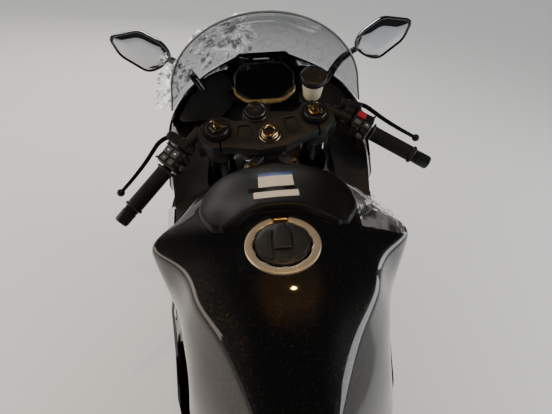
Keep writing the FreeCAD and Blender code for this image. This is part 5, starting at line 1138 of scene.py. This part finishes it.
around, rise = np.meshgrid(np.linspace(0, 1, 121), np.linspace(0, 1, 61))
outer = screen_surface(around, rise)
piece("windscreen_bubble", [slab(outer, screen_surface(around, rise, -SCREEN_THICK))], smoke_clear, "chassis",
      sharp=40, stands_for=["windscreen"])
edge_line = upright(np.concatenate([outer[::3, 0], outer[-1, 3::3], outer[-4::-3, -1]]))
edge_bead = tube(edge_line * 1000, 1.7, 10, 2) / 1000
piece("windscreen_edge", [closed(edge_bead, np.asarray)], edge_grey, "chassis")

# Film: one sheet over the whole screen, two crumpled strips, a flap off the left edge, and a rest of it
# on the tank's right shoulder
film_parts = [film_patch(0.03, 0.97, 0.05, 0.99, 5, 0.10, 0.8),
              film_patch(0.22, 0.46, 0.06, 0.88, 11, 0.55, 3.5, 0.012),
              film_patch(0.02, 0.18, 0.10, 0.94, 17, 0.45, 3.0, 0.010)]
flap_around, flap_down = np.meshgrid(np.linspace(0, 1, 100), np.linspace(0, 1, 76))
flap_top = screen_surface(0.012 + 0.16 * flap_around, 0.12 + 0.75 * flap_around ** 0.6)
flap_long = (14 + 30 * np.sin(np.pi * (0.05 + 0.80 * flap_around)) ** 0.8)[..., None]
flap_wave = creases(flap_around * 190, flap_down * 110, 23, 0.9, finest=6.0, coarsest=50.0)[..., None]
flap = (flap_top + np.array([-0.10, 0.88, -0.42]) * flap_long * flap_down[..., None]
        + np.array([-0.75, 0.55, 0.35]) * (3.0 + (0.4 + 0.9 * flap_down[..., None]) * flap_wave))
film_parts.append(slab(flap, flap + np.array([0.3, -0.2, -0.1])))
piece("screen_film", film_parts, [film_smooth, film_crumpled, film_loose, film_loose], "chassis",
      sharp=60)
shoulder_x, shoulder_y = np.meshgrid(np.linspace(795, 905, 120), np.linspace(-118, -186, 80))
shoulder_y = shoulder_y + 14 * ((shoulder_x - 812) / 100) ** 2 * (shoulder_y + 118) / -68
shoulder_wave = creases(shoulder_x, shoulder_y, 31, 0.45, finest=5.0, coarsest=45.0)
shoulder = np.stack([shoulder_x, shoulder_y, tank_height(shoulder_x, shoulder_y) + 1.0 + shoulder_wave], -1)
piece("shoulder_film", [slab(shoulder, shoulder - np.array([0, 0, FILM_THICK]))], film_draped, "chassis",
      sharp=60)


# Mirrors
# Black moulded heads, each with a framed glass that faces the rider, on a stalk that rises from the cowl.

MIRROR_OUTLINE = [(200, 1010), (230, 986), (262, 978), (316, 1020), (330, 1062), (262, 1072), (214, 1040)]
MIRROR_X = 1284.0
MIRROR_MIDDLE = np.array([262.0, 1026.0])
# Share of the outline's size and place along x: the lip round the glass, then the bowl behind it
HEAD_STEPS = [(0.90, 3.4), (0.905, 0.8), (0.93, -0.6), (0.965, -0.8), (0.99, 0.8), (1.0, 3.5), (0.995, 9.0),
              (0.96, 17.0), (0.89, 24.5), (0.78, 30.5), (0.62, 34.0), (0.35, 35.6), (0.05, 36.0)]
GLASS_STEPS = [(0.905, 3.6), (0.90, 2.4), (0.885, 2.1), (0.45, 1.5), (0.05, 1.4)]
STALK_LINE = [(1354, 156, 904), (1352, 170, 934), (1344, 186, 962), (1322, 212, 992), (1302, 238, 1014)]
mirror_rim = undoubled(softened(MIRROR_OUTLINE, 15.0, 8))


def mirror_rows(steps):
    """Rows of the mirror's outline, each scaled about its middle and set back along x."""
    return np.stack([stood(MIRROR_X + back, MIRROR_MIDDLE + (mirror_rim - MIRROR_MIDDLE) * size)
                     for size, back in steps])


mirror_glass = coat("mirror_glass", (0.55, 0.57, 0.60), (0.60, 0.62, 0.65), metal=1.0, rough=(0.01, 0.03),
                    grain=0.0, edge=0)
mirror_black = coat("mirror_black", (0.006, 0.006, 0.007), 0.010, rough=(0.16, 0.26), lacquer=0.6,
                    grain=0.1, edge=0)
stalk = tube(STALK_LINE, 8.0, 20, 10, np.linspace(1.25, 0.9, 41))
mirror_parts = (mirror_rows(HEAD_STEPS), stalk, mirror_rows(GLASS_STEPS))
for side, label in SIDES:
    piece("mirror_" + label, [closed(rows * np.array([1.0, side, 1.0])) for rows in mirror_parts],
          [mirror_black, mirror_black, mirror_glass], "chassis", sharp=50,
          stands_for=["mirrors"] if side > 0 else [])


# Inner trim
# Moulded black panels close the cockpit: beside the fork down to the tank, and under the nose. A dark skirt
# hangs from each side panel's inner edge: painted shade, a sheet that hides the pale floor where the bike's
# inside lies in shade.

TRIM_EDGES = [
    # Inner edge (x, y, z), outer edge (x, y, z), from the tank's side to the cowl, then in under the dash
    ((985, 158, 720), (985, 205, 735)),
    ((1040, 126, 742), (1040, 213, 738)),
    ((1084, 86, 762), (1084, 219, 741)),
    ((1102, 92, 771), (1102, 222, 748)),
    ((1116, 142, 777), (1118, 224, 756)),
    ((1180, 142, 806), (1180, 230, 788)),
    ((1258, 142, 838), (1258, 230, 812)),
    ((1298, 108, 836), (1296, 211, 830)),
    ((1304, 4, 834), (1352, 180, 846)),
]
BRIDGE = [(1299, 172, 830), (1318, 176, 838), (1340, 176, 850), (1362, 168, 866)]
NOSE_FLOOR = [(1308, 158, 712), (1360, 142, 716), (1420, 104, 726), (1480, 72, 742), (1532, 34, 768)]
SKIRT_LINE = [(1100, 98, 771), (1116, 142.5, 777), (1180, 142, 806), (1258, 142, 838), (1292, 144, 838)]
SKIRT_DEEP = 120.0
TRIM_WALL = np.array([0.0, 0.0, 3.0])
SKIRT_WALL = np.array([0.0, 2.5, 0.0])
RIGHT_WAY = np.array([1.0, -1.0, 1.0])


def spanned(half_line, count, along, crown):
    """Panel across the bike from side to side: its edge (x, half width, z) is read at along points, and
    its middle is raised by crown as a parabola."""
    x, wide, z = through(half_line, along).T
    share = np.linspace(-1, 1, count)[:, None]
    return np.stack([np.broadcast_to(x, (count, along)), share * wide, z + crown * (1 - share ** 2)], -1)


trim_black = coat("trim_black", 0.008, (0.013, 0.013, 0.012), rough=(0.42, 0.56), grain=0.5,
                  depth=0.0003, grain_scale=1500, edge=0)
inner_edge, outer_edge = through(TRIM_EDGES, 81).swapaxes(0, 1)
across = np.linspace(0, 1, 13)[:, None, None]
trim = inner_edge[None] * (1 - across) + outer_edge[None] * across
trim[..., 2] -= 5 * np.sin(np.pi * across[..., 0])
# The skirts are dark sheets that stand for shade inside the bike: painted shade
shade_skirt = through(SKIRT_LINE, 41)[None] - np.array([0, 0, 1.0]) * np.linspace(2.0, SKIRT_DEEP, 9)[:, None, None]
trim_parts = [slab(top, top - TRIM_WALL) for top in (trim, trim * RIGHT_WAY, spanned(BRIDGE, 25, 22, -4),
                                                     spanned(NOSE_FLOOR, 17, 33, 10))]
trim_parts += [slab(shade_skirt * way, (shade_skirt + SKIRT_WALL) * way) for way in (1.0, RIGHT_WAY)]
piece("inner_trim", trim_parts, trim_black, "chassis", sharp=40)
for name in ("cockpit_panels", "cowl_stay"):
    eased_edges(name, trim_black, "chassis")
# Tyres
# Black road rubber, 120/70 and 180/55 on 17 inch rims. The tread is moulded: pairs of slanted grooves
# that run from beside the middle to the shoulder, turned half a step from side to side.

RIM_FOOT = 227.0
BEAD_RADIUS = 216.0
SHOULDER_IN = 6.0
TYRE_THICK = 9.0
TYRE_COLUMNS = 800
GROOVE_DEEP = 3.4
GROOVE_HALF = 3.0
# Each groove: start, slant, bend, and the shares of the half width from which and to which it runs
GROOVES = ((0.10, 0.55, 1.2, 0.10, 0.86), (0.62, 0.25, 1.0, 0.34, 0.95))


def arc_through(start, middle, end, count):
    """Points of the circle through three points of a plane, from the first over the second to the last."""
    (ax, ay), (bx, by), (cx, cy) = start, middle, end
    scale = 2 * (ax * (by - cy) + bx * (cy - ay) + cx * (ay - by))
    a, b, c = ax ** 2 + ay ** 2, bx ** 2 + by ** 2, cx ** 2 + cy ** 2
    centre = np.array([a * (by - cy) + b * (cy - ay) + c * (ay - by),
                       a * (cx - bx) + b * (ax - cx) + c * (bx - ax)]) / scale
    angles = [math.atan2(y - centre[1], x - centre[0]) for x, y in (start, middle, end)]
    turns = (np.diff(angles) + math.pi) % (2 * math.pi) - math.pi
    angle = angles[0] + turns.sum() * np.linspace(0, 1, count)
    radius = math.hypot(ax - centre[0], ay - centre[1])
    return centre + radius * np.stack([np.cos(angle), np.sin(angle)], -1)


def tyre_grid(radius, width, drop, rim_width, repeats):
    """Tyre as rings (angle round it) of a closed profile (side, radius): crown arc, side walls, beads and
    the inner wall. On the crown the radius is less by the grooves' depth: a half round channel round each
    slanted line, whose share of a step is start + slant * q ^ bend at the share q of the half width."""
    half = width / 2
    shoulder = half - SHOULDER_IN
    bead = rim_width / 2
    side_r = (RIM_FOOT + radius - drop) / 2 + 4.0
    crown = arc_through((-shoulder, radius - drop), (0, radius), (shoulder, radius - drop), 57)
    right_wall = arc_through((shoulder, radius - drop), (half, side_r), (bead, RIM_FOOT), 11)[1:]
    beads = np.array([(bead, BEAD_RADIUS), (bead - TYRE_THICK, BEAD_RADIUS), (bead - TYRE_THICK, RIM_FOOT)])
    inner = arc_through((shoulder - TYRE_THICK, radius - drop - 4.5), (0, radius - TYRE_THICK),
                        (-shoulder + TYRE_THICK, radius - drop - 4.5), 9)
    mirror = np.array([-1.0, 1.0])
    profile = np.concatenate([crown, right_wall, beads, inner, (beads * mirror)[::-1],
                              (right_wall * mirror)[::-1]])
    angle = np.linspace(0, 2 * np.pi, TYRE_COLUMNS, endpoint=False)[:, None]
    side = profile[None, :, 0]
    q = np.abs(side) / shoulder
    step = 2 * np.pi * radius / repeats
    share = angle * repeats / (2 * np.pi) + 0.5 * (side < 0)
    depth = np.zeros((TYRE_COLUMNS, len(profile)))
    for start, slant, bend, low, high in GROOVES:
        off = (share - start - slant * q ** bend + 0.5) % 1 - 0.5
        taper = np.clip((q - low) / 0.08, 0, 1) * np.clip((high - q) / 0.10, 0, 1)
        across = off * step / math.sqrt(1 + (slant * step / shoulder) ** 2)
        channel = np.sqrt(np.clip(1 - (across / GROOVE_HALF) ** 2, 0, 1))
        depth = np.maximum(depth, GROOVE_DEEP * taper * channel)
    depth[:, len(crown):] = 0
    r = profile[None, :, 1] - depth
    return np.stack([r * np.cos(angle), np.broadcast_to(side, r.shape), r * np.sin(angle)], -1)


front_tread = tyre_grid(300.0, 120.0, 36.0, 92.0, 20) + np.array([FORK_AHEAD, 0, 0])
rear_tread = tyre_grid(315.0, 182.0, 52.0, 142.0, 22) + np.array([0, 0, 315.0])
piece("front_tyre_tread", [looped(front_tread, on_bars)], tyre_rubber, "front_wheel",
      sharp=30, stands_for=["front_tyre"])
piece("rear_tyre_tread", [looped(rear_tread)], tyre_rubber, "rear_wheel",
      sharp=30, stands_for=["rear_tyre"])


# Chain
# Roller chain of 15.9 mm pitch: blackened side plates in inner and outer pairs, on steel rollers.

REAR_PITCH_R = 108.75
FRONT_PITCH_R = 40.69
REAR_COG = (0.0, 315.0)
FRONT_COG = (682.0, 392.0)
CHAIN_LEFT = 108.0
LINKS = 116
# Inner and outer plates, as the sides between which they lie
CHAIN_PLATES = (((3.4, 5.2), (-5.2, -3.4)), ((5.4, 7.2), (-7.2, -5.4)))


def towards(angle):
    """Direction at an angle, or at each of many."""
    return np.stack([np.cos(angle), np.sin(angle)], -1)


def along_chain(places):
    """Point and direction of the chain's line, in its own plane, at shares 0 to 1 of its length: the upper
    run, the arc round the front sprocket, the lower run and the arc round the rear one."""
    rear, front = np.array(REAR_COG), np.array(FRONT_COG)
    far = np.linalg.norm(front - rear)
    tilt = math.atan2(*(front - rear)[::-1])
    lean = math.asin((REAR_PITCH_R - FRONT_PITCH_R) / far)
    run = far * math.cos(lean)
    lengths = np.array([run, FRONT_PITCH_R * (math.pi - 2 * lean), run, REAR_PITCH_R * (math.pi + 2 * lean)])
    ends = np.concatenate([[0], np.cumsum(lengths)])
    s = (np.asarray(places) % 1.0) * ends[-1]
    part = np.clip(np.searchsorted(ends, s, side="right") - 1, 0, 3)
    t = s - ends[part]
    top = tilt + math.pi / 2 - lean
    low = tilt - math.pi / 2 + lean
    # Angle at which each part leaves its sprocket, and the direction along it a quarter turn behind that
    angles = [np.full_like(t, top), top - t / FRONT_PITCH_R, np.full_like(t, low), low - t / REAR_PITCH_R]
    ways = [towards(angle - math.pi / 2) for angle in angles]
    points = [rear + REAR_PITCH_R * towards(angles[0]) + ways[0] * t[:, None],
              front + FRONT_PITCH_R * towards(angles[1]),
              front + FRONT_PITCH_R * towards(angles[2]) + ways[2] * t[:, None],
              rear + REAR_PITCH_R * towards(angles[3])]
    chosen = [part[:, None] == i for i in range(4)]
    return np.select(chosen, points), np.select(chosen, ways)


def many(outline, low, high, centres, ways):
    """Points and faces of many equal flat prisms: the outline (along, across) is set at each centre along
    its way, between the sides low and high."""
    count = len(outline)
    across = np.stack([-ways[:, 1], ways[:, 0]], -1)
    flat = (centres[:, None] + outline[None, :, :1] * ways[:, None] + outline[None, :, 1:] * across[:, None])
    left = np.stack([flat[..., 0], np.broadcast_to(low, flat.shape[:2]), flat[..., 1]], -1)
    far = np.stack([flat[..., 0], np.broadcast_to(high, flat.shape[:2]), flat[..., 1]], -1)
    points = np.stack([left, far], 1).reshape(-1, 3)
    base = np.arange(len(centres))[:, None] * 2 * count
    i = np.arange(count)[None]
    j = (i + 1) % count
    sides = np.stack([base + i, base + j, base + count + j, base + count + i], -1).reshape(-1, 4)
    lids = np.concatenate([base + i[:, ::-1], base + count + i])
    faces = sides.tolist() + lids.tolist()
    uv = np.concatenate([points[np.array(face)][:, [0, 2]] for face in (sides.reshape(-1), lids.reshape(-1))])
    return upright(points), faces, uv


pin_places = np.arange(LINKS) / LINKS
pins, pin_ways = along_chain(pin_places)
link_middles, link_ways = along_chain(pin_places + 0.5 / LINKS)
bend = np.linspace(-1.2, 1.2, 6)
half_plate = np.stack([7.97 + 6.3 * np.cos(bend), 6.3 * np.sin(bend)], -1)
plate_line = np.concatenate([half_plate, [[0.0, 4.9]], -half_plate, [[0.0, -4.9]]])
roller_steel = coat("roller_steel", (0.30, 0.29, 0.27), (0.42, 0.40, 0.37), metal=1.0, rough=(0.22, 0.36),
                    edge=0)
chain_black = coat("chain_black", 0.06, (0.10, 0.095, 0.09), metal=0.9, rough=(0.30, 0.45), edge=0)
chain_parts = [many(plate_line, CHAIN_LEFT + low, CHAIN_LEFT + high, link_middles[first::2],
                    link_ways[first::2]) for first, sides in enumerate(CHAIN_PLATES) for low, high in sides]
chain_parts += [many(line, CHAIN_LEFT - half_long, CHAIN_LEFT + half_long, pins, pin_ways)
                for line, half_long in ((ring_of(5.1, 12), 3.3), (ring_of(2.6, 8), 8.4))]
piece("chain_links", chain_parts, [chain_black] * 4 + [roller_steel] * 2, "chassis",
      sharp=30, stands_for=["chain"])


# Rear shock absorber
# A damper with a gas pot and a coil spring between two collars.

SHOCK_LOW = np.array([528.0, 0.0, 396.0])
SHOCK_HIGH = np.array([578.0, 0.0, 566.0])
SHOCK_LONG = float(np.linalg.norm(SHOCK_HIGH - SHOCK_LOW))
SHOCK_FOOT = [(0.2, -12), (13, -12), (15, -9), (15, 6), (10, 10), (10, 34), (33, 35), (36, 37), (36, 41),
              (33, 43), (20, 44)]
# The head's heights are counted from the upper mount
SHOCK_HEAD = [(20, -34), (33, -33), (36, -31), (36, -25), (24, -22), (24, -6), (15, -2), (15, 9), (13, 12),
              (0.2, 12)]
SPRING_TURNS = 6.5
shock_way = unit(SHOCK_HIGH - SHOCK_LOW)
shock_rows = SHOCK_FOOT + [(radius, SHOCK_LONG + height) for radius, height in SHOCK_HEAD]
coil = np.linspace(0, 1, 261)
coil_angle = 2 * np.pi * SPRING_TURNS * coil
shock_side = unit(np.cross(shock_way, [0.0, 1.0, 0.0]))
shock_front = np.cross(shock_way, shock_side)
coil_line = (SHOCK_LOW + shock_way * (44.5 + (SHOCK_LONG - 79.0) * coil)[:, None]
             + 27.5 * (np.cos(coil_angle)[:, None] * shock_side + np.sin(coil_angle)[:, None] * shock_front))
spring_grey = coat("spring_grey", 0.10, (0.15, 0.145, 0.14), metal=0.2, rough=(0.22, 0.32), edge=0)
piece("shock_and_spring", [closed(turned(shock_rows, SHOCK_LOW, shock_way, 40)),
                           closed(carried(coil_line, ring_of(4.6, 12), shock_way))],
      [fork_black, spring_grey], "chassis", sharp=34, stands_for=["rear_shock"])


# Castings, brackets and sheet steel
# Their edges are cut back and rounded as a foundry leaves them.

for finish, slot, places in (
        (frame_black, "frame_black", (("frame", "chassis"), ("swingarm", "chassis"))),
        (engine_black, "engine_black", (("engine", "chassis"),)),
        (cast_black, "cast_black", (("rearsets", "chassis"), ("rear_caliper", "chassis"),
                                    ("side_stand", "side_stand"), ("front_calipers", "steering"))),
        (wheel_black, "wheel_black", (("front_rim", "front_wheel"), ("rear_rim", "rear_wheel")))):
    for name, body in places:
        eased_edges(name, finish, body)


# Seats
# Foam pads under black grained vinyl. Each pad is blown up a little by a cloth simulation, so that it
# crowns between its edges; a sewn channel and a row of stitches follow its sides.

PAD_VOXEL = 0.005
PAD_SMALLER = 0.0035
PAD_PRESSURE = 4.0
PAD_FRAMES = 20
PAD_MOVE = 0.006
CHANNEL_DEEP = 0.0026
CHANNEL_HALF = 3.2
STITCH_STEP = 6.0
# Place x along the bike and half width y of each pad's sewn lines
SEAT_SEWN = np.array([(282, 100), (320, 104), (400, 95), (500, 66), (566, 38)], float)
PILLION_SEWN = np.array([(-20, 42), (60, 54), (160, 66), (258, 66)], float)


def upright_of(points):
    """Upright place, in millimetres, of parked points in metres: the inverse of upright."""
    away = np.asarray(points, float) - rear_axle
    return 1000 * np.stack([away @ bike_ahead, away @ bike_left, away @ bike_up + REAR_AXLE_HEIGHT], -1)


def read_points(mesh, name="co"):
    """The mesh's points, or their normals, as an array."""
    flat = np.zeros(len(mesh.vertices) * 3)
    mesh.vertices.foreach_get(name, flat)
    return flat.reshape(-1, 3)


def move_points(mesh, points):
    """Puts the mesh's points at new places."""
    mesh.vertices.foreach_set("co", points.ravel())
    mesh.update()


def blown(made, start):
    """Where a cloth simulation under pressure takes the object's points, with no point moving further
    than PAD_MOVE: the drift of the whole pad is taken off first."""
    cloth = made.modifiers.new("cloth", "CLOTH")
    settings = cloth.settings
    settings.quality = 5
    settings.mass = 0.3
    settings.tension_stiffness = 12
    settings.compression_stiffness = 12
    settings.bending_stiffness = 2.0
    settings.use_pressure = True
    settings.uniform_pressure_force = PAD_PRESSURE
    settings.effector_weights.gravity = 0
    cloth.point_cache.frame_start = 1
    cloth.point_cache.frame_end = PAD_FRAMES
    for number in range(1, PAD_FRAMES + 1):
        bpy.context.scene.frame_set(number)
    end = read_points(made.evaluated_get(bpy.context.evaluated_depsgraph_get()).data)
    made.modifiers.clear()
    bpy.context.scene.frame_set(1)
    move = end - start
    move = move - move.mean(0)
    far = np.linalg.norm(move, axis=1, keepdims=True)
    return start + move * np.minimum(1, PAD_MOVE / np.maximum(far, 1e-9))


def padded(name, node, channel):
    """Pad from a solid's shape: remeshed, drawn in by PAD_SMALLER, blown up by a cloth simulation, then
    channelled: sunk by a narrow bell where channel(x, y), in millimetres from the sewn line, is near
    zero, on the upper side."""
    made = linked(name, frame["nodes"][node].data.copy())
    cleaned(made.data, DOUBLE)
    modified(made, "REMESH", mode="VOXEL", voxel_size=PAD_VOXEL)
    mesh = modified(made, "SMOOTH", factor=0.5, iterations=6)
    start = read_points(mesh) - read_points(mesh, "normal") * PAD_SMALLER
    move_points(mesh, start)
    move_points(mesh, blown(made, start))
    mesh = modified(made, "SUBSURF", levels=1, render_levels=1)
    points, normals = read_points(mesh), read_points(mesh, "normal")
    places = upright_of(points)
    up = np.clip((normals @ bike_up - 0.25) / 0.4, 0, 1)
    sunk = CHANNEL_DEEP * np.exp(-(channel(places[:, 0], places[:, 1]) / CHANNEL_HALF) ** 2) * up
    move_points(mesh, points - normals * sunk[:, None])
    mesh.shade_smooth()
    mesh.materials.clear()
    mesh.materials.append(seat_vinyl)
    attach(made, "chassis")
    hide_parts(node)
    return made


def sewn_half(sewn, x):
    """Half width of the sewn lines at x."""
    return np.interp(x, *sewn.T)


def seat_channel(x, y):
    """Distance across from the rider seat's sewn lines: one along each side, and one across its middle."""
    wide = sewn_half(SEAT_SEWN, x)
    cross = np.where(np.abs(y) < wide, np.abs(x - 345.0 - 12 * (y / 100.0) ** 2), 99.0)
    return np.minimum(np.abs(np.abs(y) - wide), cross)


def pillion_channel(x, y):
    """Distance across from the pillion pad's sewn lines along its sides."""
    return np.abs(np.abs(y) - sewn_half(PILLION_SEWN, x))


rider_pad = padded("rider_pad", "rider_seat", seat_channel)
pillion_pad = padded("pillion_pad", "pillion_seat", pillion_channel)
bpy.context.view_layer.update()


def met(made, start, way):
    """Place and normal where the line from a point of the upright bike first meets the object, or none."""
    hit, place, normal, _ = made.ray_cast(upright(start).tolist(), way.tolist())
    return (np.array(place), np.array(normal)) if hit else None


def stitches(name, made, lines):
    """Thread along lines of (x, y) pairs on a pad: each stitch is a short six sided prism, 4 mm long."""
    ring = ring_of(0.00055, 6)
    parts = []
    for line in lines:
        along = lengths_along(line)
        middles = (np.arange(int(along[-1] / STITCH_STEP)) + 0.5) * STITCH_STEP
        at = np.stack([np.interp(middles, along, line[:, i]) for i in (0, 1)], -1)
        for place, ahead in zip(at, np.gradient(at, axis=0)):
            found = met(made, (*place, 1100.0), -bike_up)
            if found is None:
                continue
            middle, normal = found
            way = ahead[0] * bike_ahead + ahead[1] * bike_left
            way = unit(way - normal * (way @ normal))
            loop = ring[:, :1] * np.cross(way, normal) + ring[:, 1:] * normal
            ends = middle + normal * 0.0003 + way * np.array([-0.002, 0.002])[:, None]
            parts.append(closed(ends[:, None] + loop[None], np.asarray))
    thread = coat("thread_" + name, 0.05, 0.08, rough=(0.6, 0.7), edge=0)
    piece(name, parts, thread, "chassis", sharp=60)


for name, made, sewn, x, offs in (
        ("seat_stitches", rider_pad, SEAT_SEWN, np.linspace(300, 548, 60), (5.5, -5.5)),
        ("pillion_stitches", pillion_pad, PILLION_SEWN, np.linspace(-8, 246, 60), (5.5,))):
    stitches(name, made, [np.stack([x, side * (sewn_half(sewn, x) + off)], -1)
                          for side in (1, -1) for off in offs])


# Lamps
# Headlamps are clear lenses over a projector and a light strip; the tail lamp is a red lens, and each rear
# indicator is an amber lens on the bracket's bar.

PROJECTOR = [(0.1, -26), (18, -26), (21, -18), (22, 0), (22, 6), (20.5, 7.5), (18.5, 7), (17, 4), (17, -4),
             (0.1, -4)]
PROJECTOR_LENS = [(16.8, -3.5), (16.6, -1), (14.5, 4), (11, 7.5), (6, 10), (2.5, 10.8), (0.1, 11)]
STRIP_X = np.linspace(1424, 1516, 14)
FAR_OUT = 500.0
INDICATOR = [(0.1, 112), (15.6, 112), (16.2, 116), (16.2, 142), (14.6, 149), (10.5, 153.5), (5, 155.5),
             (0.1, 156)]
lamp_clear = clear_paint("lamp_clear", (0.86, 0.88, 0.90), (0.02, 0.04), 0.02)
lamp_amber = coat("lamp_amber", (0.62, 0.20, 0.01), (0.72, 0.26, 0.02), rough=(0.08, 0.14), lacquer=1.0,
                  edge=0)
lamp_bright = coat("lamp_bright", 0.80, 0.88, metal=1.0, rough=(0.06, 0.12), edge=0)
strip_white = coat("strip_white", (0.80, 0.82, 0.86), (0.86, 0.88, 0.90), rough=(0.2, 0.3), edge=0)
lens_black = coat("lens_black", (0.004, 0.004, 0.005), (0.007, 0.007, 0.008), rough=(0.05, 0.09), lacquer=1.0,
                  edge=0)


def from_side(made, x, z, side):
    """Place in metres and normal where a level line of the upright bike from one side meets the object."""
    return met(made, (x, side * FAR_OUT, z), -side * bike_left)


def inside_lamp(x, z, side, inside):
    """Upright place that lies inside millimetres within the headlamp's outer face at (x, z)."""
    found = from_side(frame["nodes"]["headlamps"], x, z, side)
    return None if found is None else upright_of(found[0]) - np.array([0, side * inside, 0])


lamp_parts = []
lamp_coats = []
for side in (1, -1):
    seat_place = inside_lamp(1440, 806, side, 34.0)
    if seat_place is not None:
        lamp_way = unit([0.80, 0.60 * side, -0.03])
        lamp_parts += [closed(turned(rows, seat_place, lamp_way, 40)) for rows in (PROJECTOR, PROJECTOR_LENS)]
        lamp_coats += [lens_black, lamp_bright]
    strip = [inside_lamp(x, 786 + 0.10 * (x - 1424), side, 9.0) for x in STRIP_X]
    strip = [place for place in strip if place is not None]
    if len(strip) > 3:
        lamp_parts.append(closed(tube(strip, 3.2, 10, 3)))
        lamp_coats.append(strip_white)
piece("lamp_inner", lamp_parts, lamp_coats, "chassis", sharp=40)
piece("rear_indicators", [closed(turned(INDICATOR, (-262, 0, 812), (0, side, 0), 36)) for side in (1, -1)],
      lamp_amber, "chassis", sharp=50)


# Tank bracket
# A pressed steel plate bolts the front of the tank to the steering head; its two bolts are brass plated.

BRACKET_Z = 846.0
BRACKET_LINE = [(1002, -60), (1002, 60), (1066, 62), (1092, 56), (1098, 26), (1098, -26), (1096, -60),
                (1066, -64)]
BOLT = [(0.1, 0, 0), (10.5, 0, 0), (10.5, 1.6, 0), (7.4, 1.9, 0), (6.6, 2.0, 6.6), (6.6, 7.2, 6.6),
        (5.9, 8.0, 5.0), (3.6, 8.0, 0), (3.4, 6.6, 0), (0.1, 6.6, 0)]
bracket_parts = [closed(plate(BRACKET_LINE, BRACKET_Z - 4.0, BRACKET_Z, 1.0, 10.0))]
for x, y in ((1077, 41.3), (1083, -47.2)):
    bracket_parts.append(closed(turned(BOLT, (x, y, BRACKET_Z - 0.2), (0, 0, 1), 48, six_sided)))
piece("tank_bracket", bracket_parts, [satin_black, brass, brass], "chassis", sharp=40)


# Disc buttons and screws
# Floating discs hang on steel buttons; button-head screws hold the fairings, cowls and tail.

BUTTON = [(0.1, -4.2), (5.2, -4.2), (7.0, -3.2), (7.0, 3.2), (5.2, 4.2), (0.1, 4.2)]
BUTTON_R = 118.0
DISC_LEFT = 66.5
SCREW_HEAD = [(0.1, -1.0), (5.4, -1.0), (5.4, 0.6), (4.8, 1.8), (3.4, 2.7), (2.0, 2.9), (1.9, 1.4),
              (0.1, 1.4)]
SCREWS = [
    # Left node, right node, and the places (x, z) where a level line from either side meets them
    ("side_fairing_left", "side_fairing_right",
     [(1375, 742), (1290, 790), (1130, 765), (985, 742), (860, 690), (1150, 470), (960, 345), (760, 385),
      (1130, 330)]),
    ("upper_cowl", "upper_cowl", [(1215, 850), (1420, 880)]),
    ("tail_cowl", "tail_cowl", [(380, 770), (215, 830), (30, 895)]),
    ("belly_pan", "belly_pan", [(1000, 190), (800, 190)]),
]
button_parts = []
for y in (DISC_LEFT, -DISC_LEFT):
    for angle in np.arange(8) * math.pi / 4 + 0.3:
        foot = (FORK_AHEAD + BUTTON_R * math.cos(angle), y, BUTTON_R * math.sin(angle))
        button_parts.append(closed(turned(BUTTON, foot, (0, 1, 0), 20), on_bars))
# The buttons share the chrome whose warm tint is a painted reflection
piece("disc_buttons", button_parts, chrome_painted_warm_reflection, "front_wheel", sharp=40)
screw_parts = []
for left_node, right_node, spots in SCREWS:
    for name, side in ((left_node, 1), (right_node, -1)):
        for x, z in spots:
            found = from_side(frame["nodes"][name], x, z, side)
            if found is not None:
                rows = turned(SCREW_HEAD, found[0] * 1000, found[1], 20) / 1000
                screw_parts.append(closed(rows, np.asarray))
piece("fairing_screws", screw_parts, satin_black, "chassis", sharp=40)


# Muffler
# Its edges are rounded like sheet steel's, and a turned tail pipe, open at its end, comes out of it.

MUFFLER_START = np.array([560.0, -196.0, 252.0])
MUFFLER_END = np.array([318.0, -214.0, 332.0])
TAIL_PIPE = [(0.1, -6), (26, -6), (27, -3), (27, 14), (25, 19), (22.5, 20), (21.5, 18), (21.5, -2), (0.1, -2)]
piece("tail_pipe", [closed(turned(TAIL_PIPE, MUFFLER_END, MUFFLER_END - MUFFLER_START, 44))],
      dark_steel, "chassis", sharp=40)
eased_edges("muffler", exhaust_steel, "chassis", 0.003, 3)


# Bare solids
# What is left takes its finish as it is.

BARE = [
    (gloss_black, ["upper_cowl", "side_fairing_left", "side_fairing_right", "belly_pan", "tail_cowl",
                   "front_fender"]),
    (lamp_clear, ["headlamps"]),
    (fork_black, ["fork_tubes"]),
    (plastic_black, ["rear_fender", "plate_bracket"]),
    (dark_steel, ["rear_sprocket", "rear_axle"]),
    (disc_steel, ["front_discs", "rear_disc", "front_axle"]),
    (bright_steel, ["fork_sliders"]),
    (exhaust_steel, ["exhaust"]),
    (rubber_black, ["brake_hoses"]),
    (radiator_black, ["radiator"]),
    (lens_red, ["tail_lamp"]),
]
for finish, names in BARE:
    for name in names:
        node = frame["nodes"][name]
        node.data.materials.clear()
        node.data.materials.append(finish)
